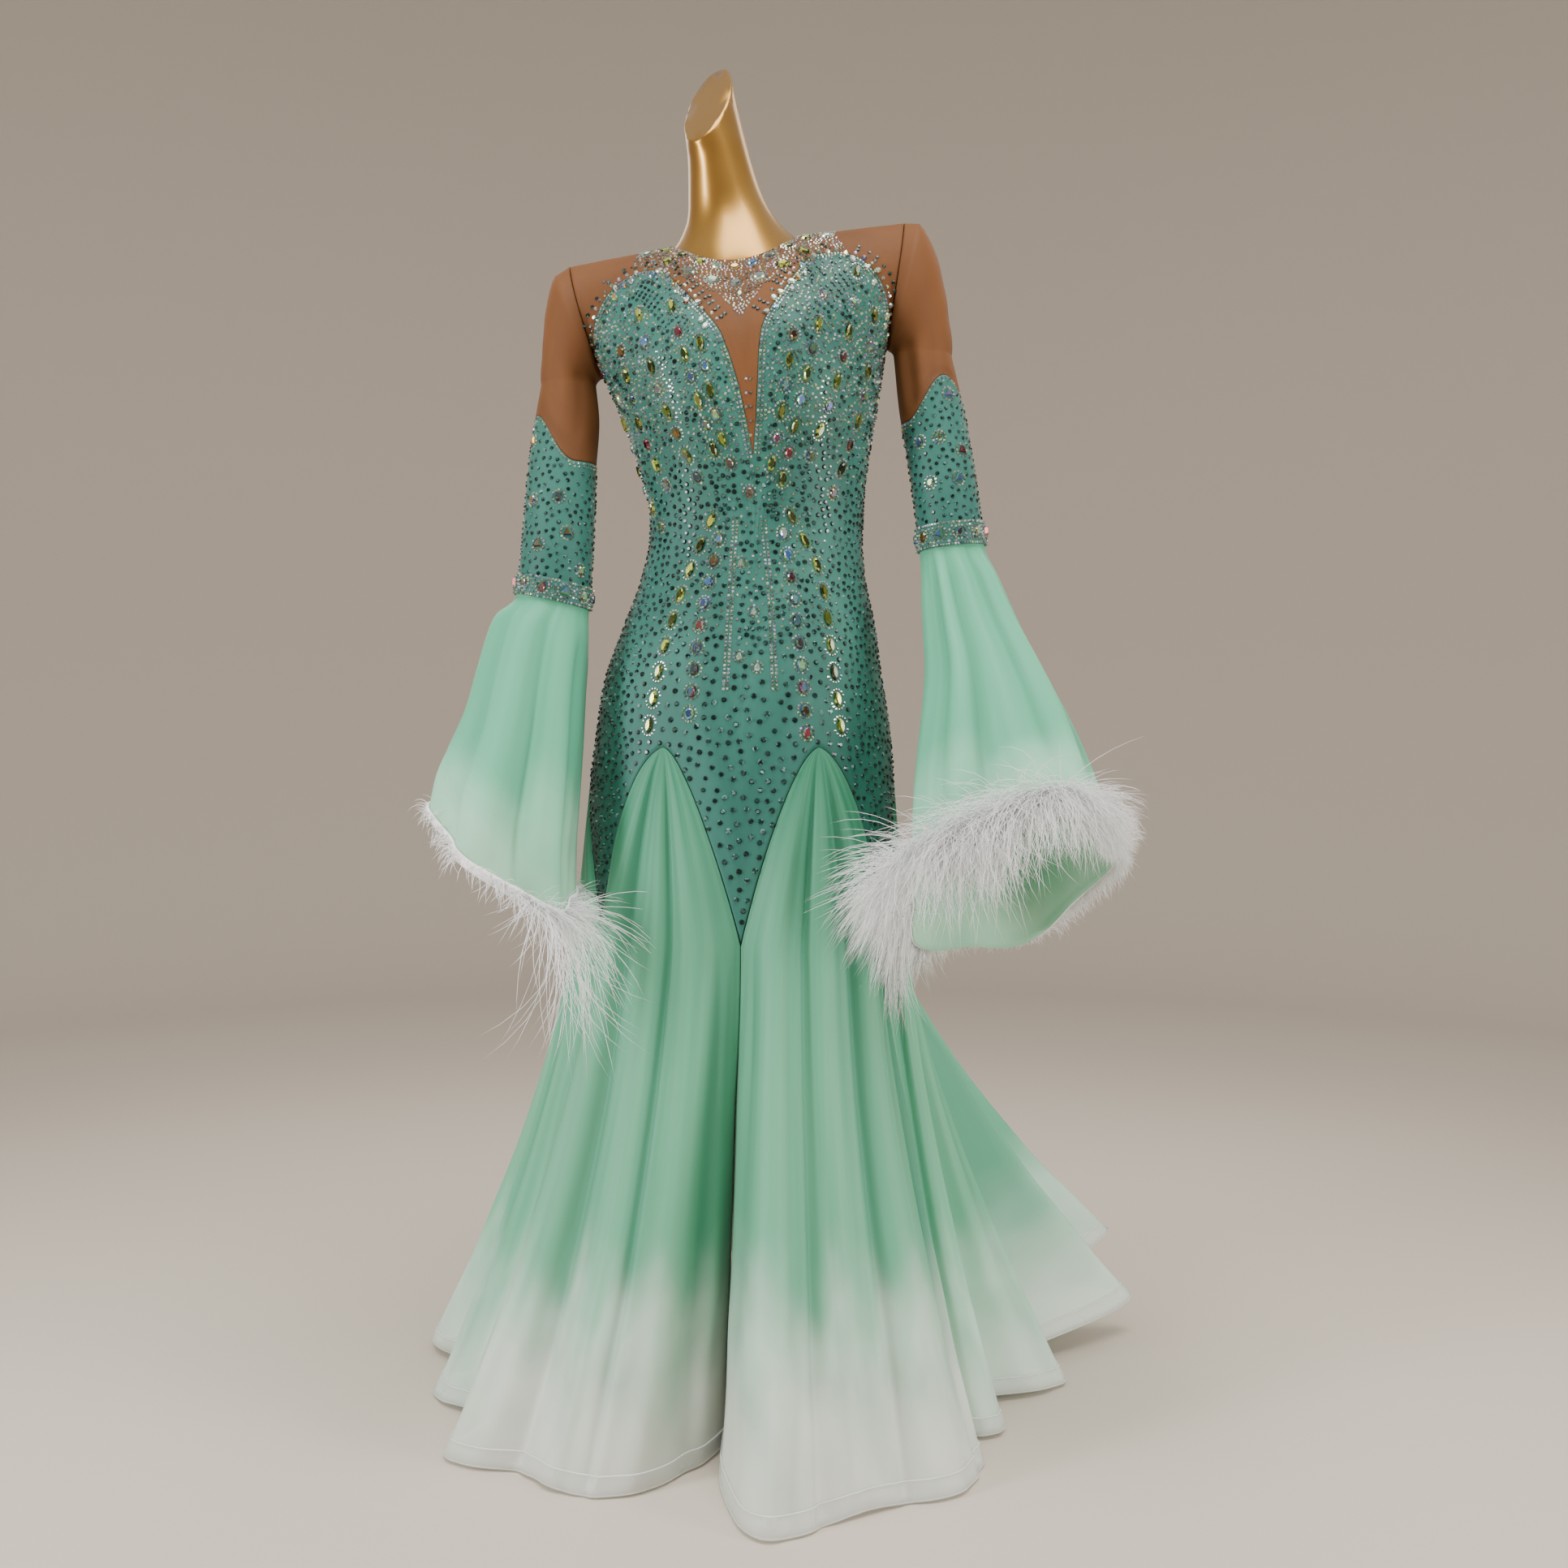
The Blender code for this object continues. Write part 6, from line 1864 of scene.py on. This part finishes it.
def make_feathers(side):
    """Ostrich fringe: long barbs and short down, all rooted in a ribbon round the bell's rim."""
    draw = random.Random(71 if side == "left" else 72)
    long_count, down_count = FEATHER_COUNTS[side]
    long_lines, down_lines = [], []
    for angle, spot in barb_spots(side, long_count, draw):
        length = barb_length(side, angle) * draw.triangular(0.45, 1.15, 0.9)
        if side == "left":
            hanging = smooth((length - 0.105) / 0.06)
        else:
            hanging = bell_curve(turn_off(angle, 206.0) / 17.0)
        rise = lerp(barb_rise(angle, draw), draw.uniform(-82.0, -40.0), hanging)
        heading = barb_heading(spot, rise, draw.gauss(0.0, 0.42))
        heading.y -= 0.35 * max(0.0, -cos(radians(angle))) * (1.0 if angle < 215.0 else 0.2)
        droop = lerp(draw.uniform(0.5, 2.3), 2.0, hanging)
        curl = draw.gauss(0.0, 1.2 if side == "right" else 2.4)
        long_lines.append((barb_line(spot.point, heading, length, 6, droop, curl), draw.random()))
    for angle, spot in barb_spots(side, down_count, draw):
        length = min(barb_length(side, angle), 0.105) * draw.uniform(0.25, 0.70)
        rise = lerp(draw.uniform(-88.0, 80.0), barb_rise(angle, draw), 0.4)
        heading = barb_heading(spot, rise, draw.gauss(0.0, 0.8))
        droop, curl = draw.uniform(0.2, 1.5), draw.gauss(0.0, 1.8)
        down_lines.append((barb_line(spot.point, heading, length, 4, droop, curl), draw.random()))
    barbs = feather_mesh("feather_barbs_" + side, long_lines, 0.00048)
    down = feather_mesh("feather_down_" + side, down_lines, 0.00034)

    rim, top, height = BELL[side].keys[0], BELL[side].keys[-1], STRIP_HEIGHT[side]

    def laid(angle, fallen):
        return ring_point(BELL[side], side, angle, rim + height * (1.0 - fallen), BELL_WAVES)

    def folds(angle, fallen):
        return STRIP_WALL + LAID_GAP + bell_folds(side, angle, 1.0 - height * (1.0 - fallen) / (top - rim))

    mesh = tube(side, 120, 3, laid, (0.60, height), folds)
    ribbon = cloth_piece("feather_ribbon_" + side, mesh, STRIP_WALL, FEATHER_WHITE, "white_feather",
                         "feather_trim_" + side)
    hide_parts("feather_trim_" + side)
    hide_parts("feather_trim_" + side)
    return [barbs, down, ribbon]


# ---------------------------------------------------------------- studio
FLOOR_RADIUS = 3.2
SWEEP_RADIUS = 1.2
WALL_TOP = 4.6


def make_studio():
    """Round floor that curves up into a wall, seen alike from every side; its paler middle is a painted pool
    of light that darkens outwards into warm grey on the wall.
    """
    mesh = bmesh.new()
    profile = [(0.0, 0.0), (1.2, 0.0), (2.4, 0.0), (FLOOR_RADIUS, 0.0)]
    profile += [(FLOOR_RADIUS + SWEEP_RADIUS * sin(radians(a)), SWEEP_RADIUS - SWEEP_RADIUS * cos(radians(a)))
                for a in range(10, 91, 10)]
    profile.append((FLOOR_RADIUS + SWEEP_RADIUS, WALL_TOP))
    line = [mesh.verts.new((radius, 0.0, z)) for radius, z in profile]
    edges = [mesh.edges.new(pair) for pair in zip(line, line[1:])]
    bmesh.ops.spin(mesh, geom=line + edges, cent=(0.0, 0.0, 0.0), axis=UP, angle=2.0 * pi, steps=96,
                   use_merge=True)
    bmesh.ops.remove_doubles(mesh, verts=mesh.verts, dist=0.0001)
    bmesh.ops.recalc_face_normals(mesh, faces=mesh.faces)
    bmesh.ops.reverse_faces(mesh, faces=mesh.faces)
    bmesh.ops.translate(mesh, verts=mesh.verts, vec=(0.0, SPINE_Y, -0.0005))
    made, tree, shader = new_material("studio_sweep", 0.85, Specular_IOR_Level=0.0)
    parts = add_node(tree, "ShaderNodeSeparateXYZ", {0: texture_place(tree, "Object")}).outputs
    away = math(tree, "SQRT", math(tree, "ADD", math(tree, "MULTIPLY", parts["X"], parts["X"]),
                                   math(tree, "MULTIPLY", parts["Y"], parts["Y"])))
    # painted pool of light: paler near the middle, darker further out
    share = spread(tree, away, 0.75, 2.6, interpolation_type="SMOOTHSTEP")
    tree.links.new(two_tone(tree, share, (0.63, 0.56, 0.475), (0.50, 0.44, 0.375)), shader["Base Color"])
    data = smooth_mesh("studio_floor", mesh)
    data.materials.append(made)
    floor = placed_object("studio_floor", data)
    floor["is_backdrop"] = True


def add_light(name, place, target, size, power, colour):
    data = bpy.data.lights.new(name, "AREA")
    data.shape = "RECTANGLE"
    data.size, data.size_y = size
    data.energy = power
    data.color = colour
    made = placed_object(name, data)
    made.location = place
    made.rotation_mode = "QUATERNION"
    made.rotation_quaternion = (Vector(place) - Vector(target)).to_track_quat("Z", "Y")


CAMERA_PLACE = (0.0455, -1.890, 0.785)
CAMERA_PITCH = 1.5
PICTURE_SIDE = 1932.0
FOCAL_PIXELS = 1950.0


def make_camera():
    data = bpy.data.cameras.new("camera")
    data.sensor_width = 36.0
    data.lens = data.sensor_width * FOCAL_PIXELS / PICTURE_SIDE
    made = placed_object("camera", data)
    made.location = CAMERA_PLACE
    made.rotation_euler = (radians(90.0 - CAMERA_PITCH), 0.0, 0.0)
    bpy.context.scene.camera = made


def light_studio():
    world = bpy.data.worlds.new("studio_air")
    world.use_nodes = True
    sky = world.node_tree.nodes["Background"].inputs
    sky["Color"].default_value = (0.92, 0.89, 0.85, 1.0)
    sky["Strength"].default_value = 0.62
    bpy.context.scene.world = world
    middle = (0.0, 0.0, 0.80)
    add_light("top_softbox", (0.2, -1.1, 3.3), (0.0, -0.3, 0.0), (2.2, 1.8), 102.0, (1.0, 0.99, 0.97))
    add_light("key_softbox", (2.6, -1.4, 0.85), (0.0, 0.0, 0.50), (0.8, 1.7), 62.0, (1.0, 0.985, 0.96))
    add_light("fill_softbox", (-2.5, -1.5, 1.1), (0.0, 0.0, 0.65), (0.50, 2.0), 80.0, (0.98, 0.99, 1.0))
    add_light("back_softbox_left", (-1.6, 2.3, 2.7), middle, (1.0, 1.2), 11.0, (1.0, 1.0, 1.0))
    add_light("back_softbox_right", (1.8, 2.1, 2.7), middle, (1.0, 1.2), 11.0, (1.0, 1.0, 1.0))


# ---------------------------------------------------------------- making it
make_camera()
make_studio()
light_studio()

bodice = {face: make_bodice(face) for face in FACES}
yoke = {face: make_yoke(face) for face in FACES}
godets = {godet.name: make_godet(godet) for godet in GODETS}
braid = make_braid()
upper_sleeve = {side: make_upper_sleeve(side) for side in SIDES}
lower_sleeve = {side: make_lower_sleeve(side) for side in SIDES}
cuff = {side: make_cuff(side) for side in SIDES}
bell = {side: make_bell(side) for side in SIDES}
feathers = {side: make_feathers(side) for side in SIDES}
make_form()
for metal_node in ("stand_pole", "stand_base"):
    refinish(metal_node, STEEL)
zip_pieces = make_zip()

stone_draw = random.Random(5)
front_stones = Pavement(stone_draw)
lay_strings(front_stones)
lay_dark_rows(front_stones)
lay_bust_edge(front_stones)
lay_necklace(front_stones)
lay_bodice(front_stones, "front", 60000)
back_stones = Pavement(stone_draw)
lay_bodice(back_stones, "back", 26000)
stones = {"front": stone_pieces("front", front_stones), "back": stone_pieces("back", back_stones)}
for side in SIDES:
    for place_name, lay_on in (("sleeve_", lay_sleeve), ("cuff_", lay_cuff)):
        laid_stones = Pavement(stone_draw)
        lay_on(laid_stones, side)
        stones[place_name + side] = stone_pieces(place_name + side, laid_stones)
for cut in CUTS_OF_STONE.values():
    cut.mesh.free()

# how each sheet was cut: width, length and area, how it is held, what carries it and what lies on it
CUTS = [
    (bodice["front"], 0.50, 0.74, 0.251, "stretched", ["form_gold_torso"], stones["front"]),
    (bodice["back"], 0.47, 0.71, 0.208, "stretched", ["form_gold_torso"], [*stones["back"], *zip_pieces]),
    (yoke["front"], 0.38, 0.26, 0.042, "stretched", ["form_gold_torso"], []),
    (yoke["back"], 0.38, 0.24, 0.060, "stretched", ["form_gold_torso"], []),
    (godets["godet_front_left"], 0.46, 0.80, 0.208, "hung", ["bodice_crepe_front"], [braid]),
    (godets["godet_front_right"], 0.52, 0.80, 0.233, "hung", ["bodice_crepe_front"], []),
    (godets["godet_side_left"], 0.43, 0.80, 0.195, "hung", ["bodice_crepe_front", "bodice_crepe_back"], []),
    (godets["godet_side_right"], 0.34, 0.80, 0.153, "hung", ["bodice_crepe_front", "bodice_crepe_back"], []),
    (godets["godet_back_left"], 0.60, 0.88, 0.280, "hung", ["bodice_crepe_back"], []),
    (godets["godet_back_right"], 0.80, 0.95, 0.394, "hung", ["bodice_crepe_back"], []),
    (braid, 4.15, 0.0195, None, "hung", ["organza_" + godet.name for godet in GODETS], []),
    (upper_sleeve["left"], 0.245, 0.21, 0.0394, "hung", ["yoke_net_front", "yoke_net_back"], []),
    (upper_sleeve["right"], 0.250, 0.22, 0.0420, "hung", ["yoke_net_front", "yoke_net_back"], []),
    (lower_sleeve["left"], 0.250, 0.19, 0.0403, "hung", ["sleeve_net_left"], stones["sleeve_left"]),
    (lower_sleeve["right"], 0.245, 0.17, 0.0336, "hung", ["sleeve_net_right"], stones["sleeve_right"]),
    (cuff["left"], 0.255, 0.028, None, "stretched", ["sleeve_crepe_left"], stones["cuff_left"]),
    (cuff["right"], 0.250, 0.028, None, "stretched", ["sleeve_crepe_right"], stones["cuff_right"]),
    (bell["left"], 0.60, 0.37, 0.125, "hung", ["cuff_crepe_left"], []),
    (bell["right"], 0.74, 0.46, 0.191, "hung", ["cuff_crepe_right"], []),
    (feathers["left"][2], 0.60, 0.011, None, "hung", ["organza_bell_left"], feathers["left"][:2]),
    (feathers["right"][2], 0.74, 0.012, None, "hung", ["organza_bell_right"], feathers["right"][:2])]
for piece, width, length, area, held, carriers, on_it in CUTS:
    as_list(carriers)
    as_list(on_it)

boxes = {"cad": CAD_BOX, "scene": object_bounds()}
{name: [list(corner) for corner in box] for name, box in boxes.items()}
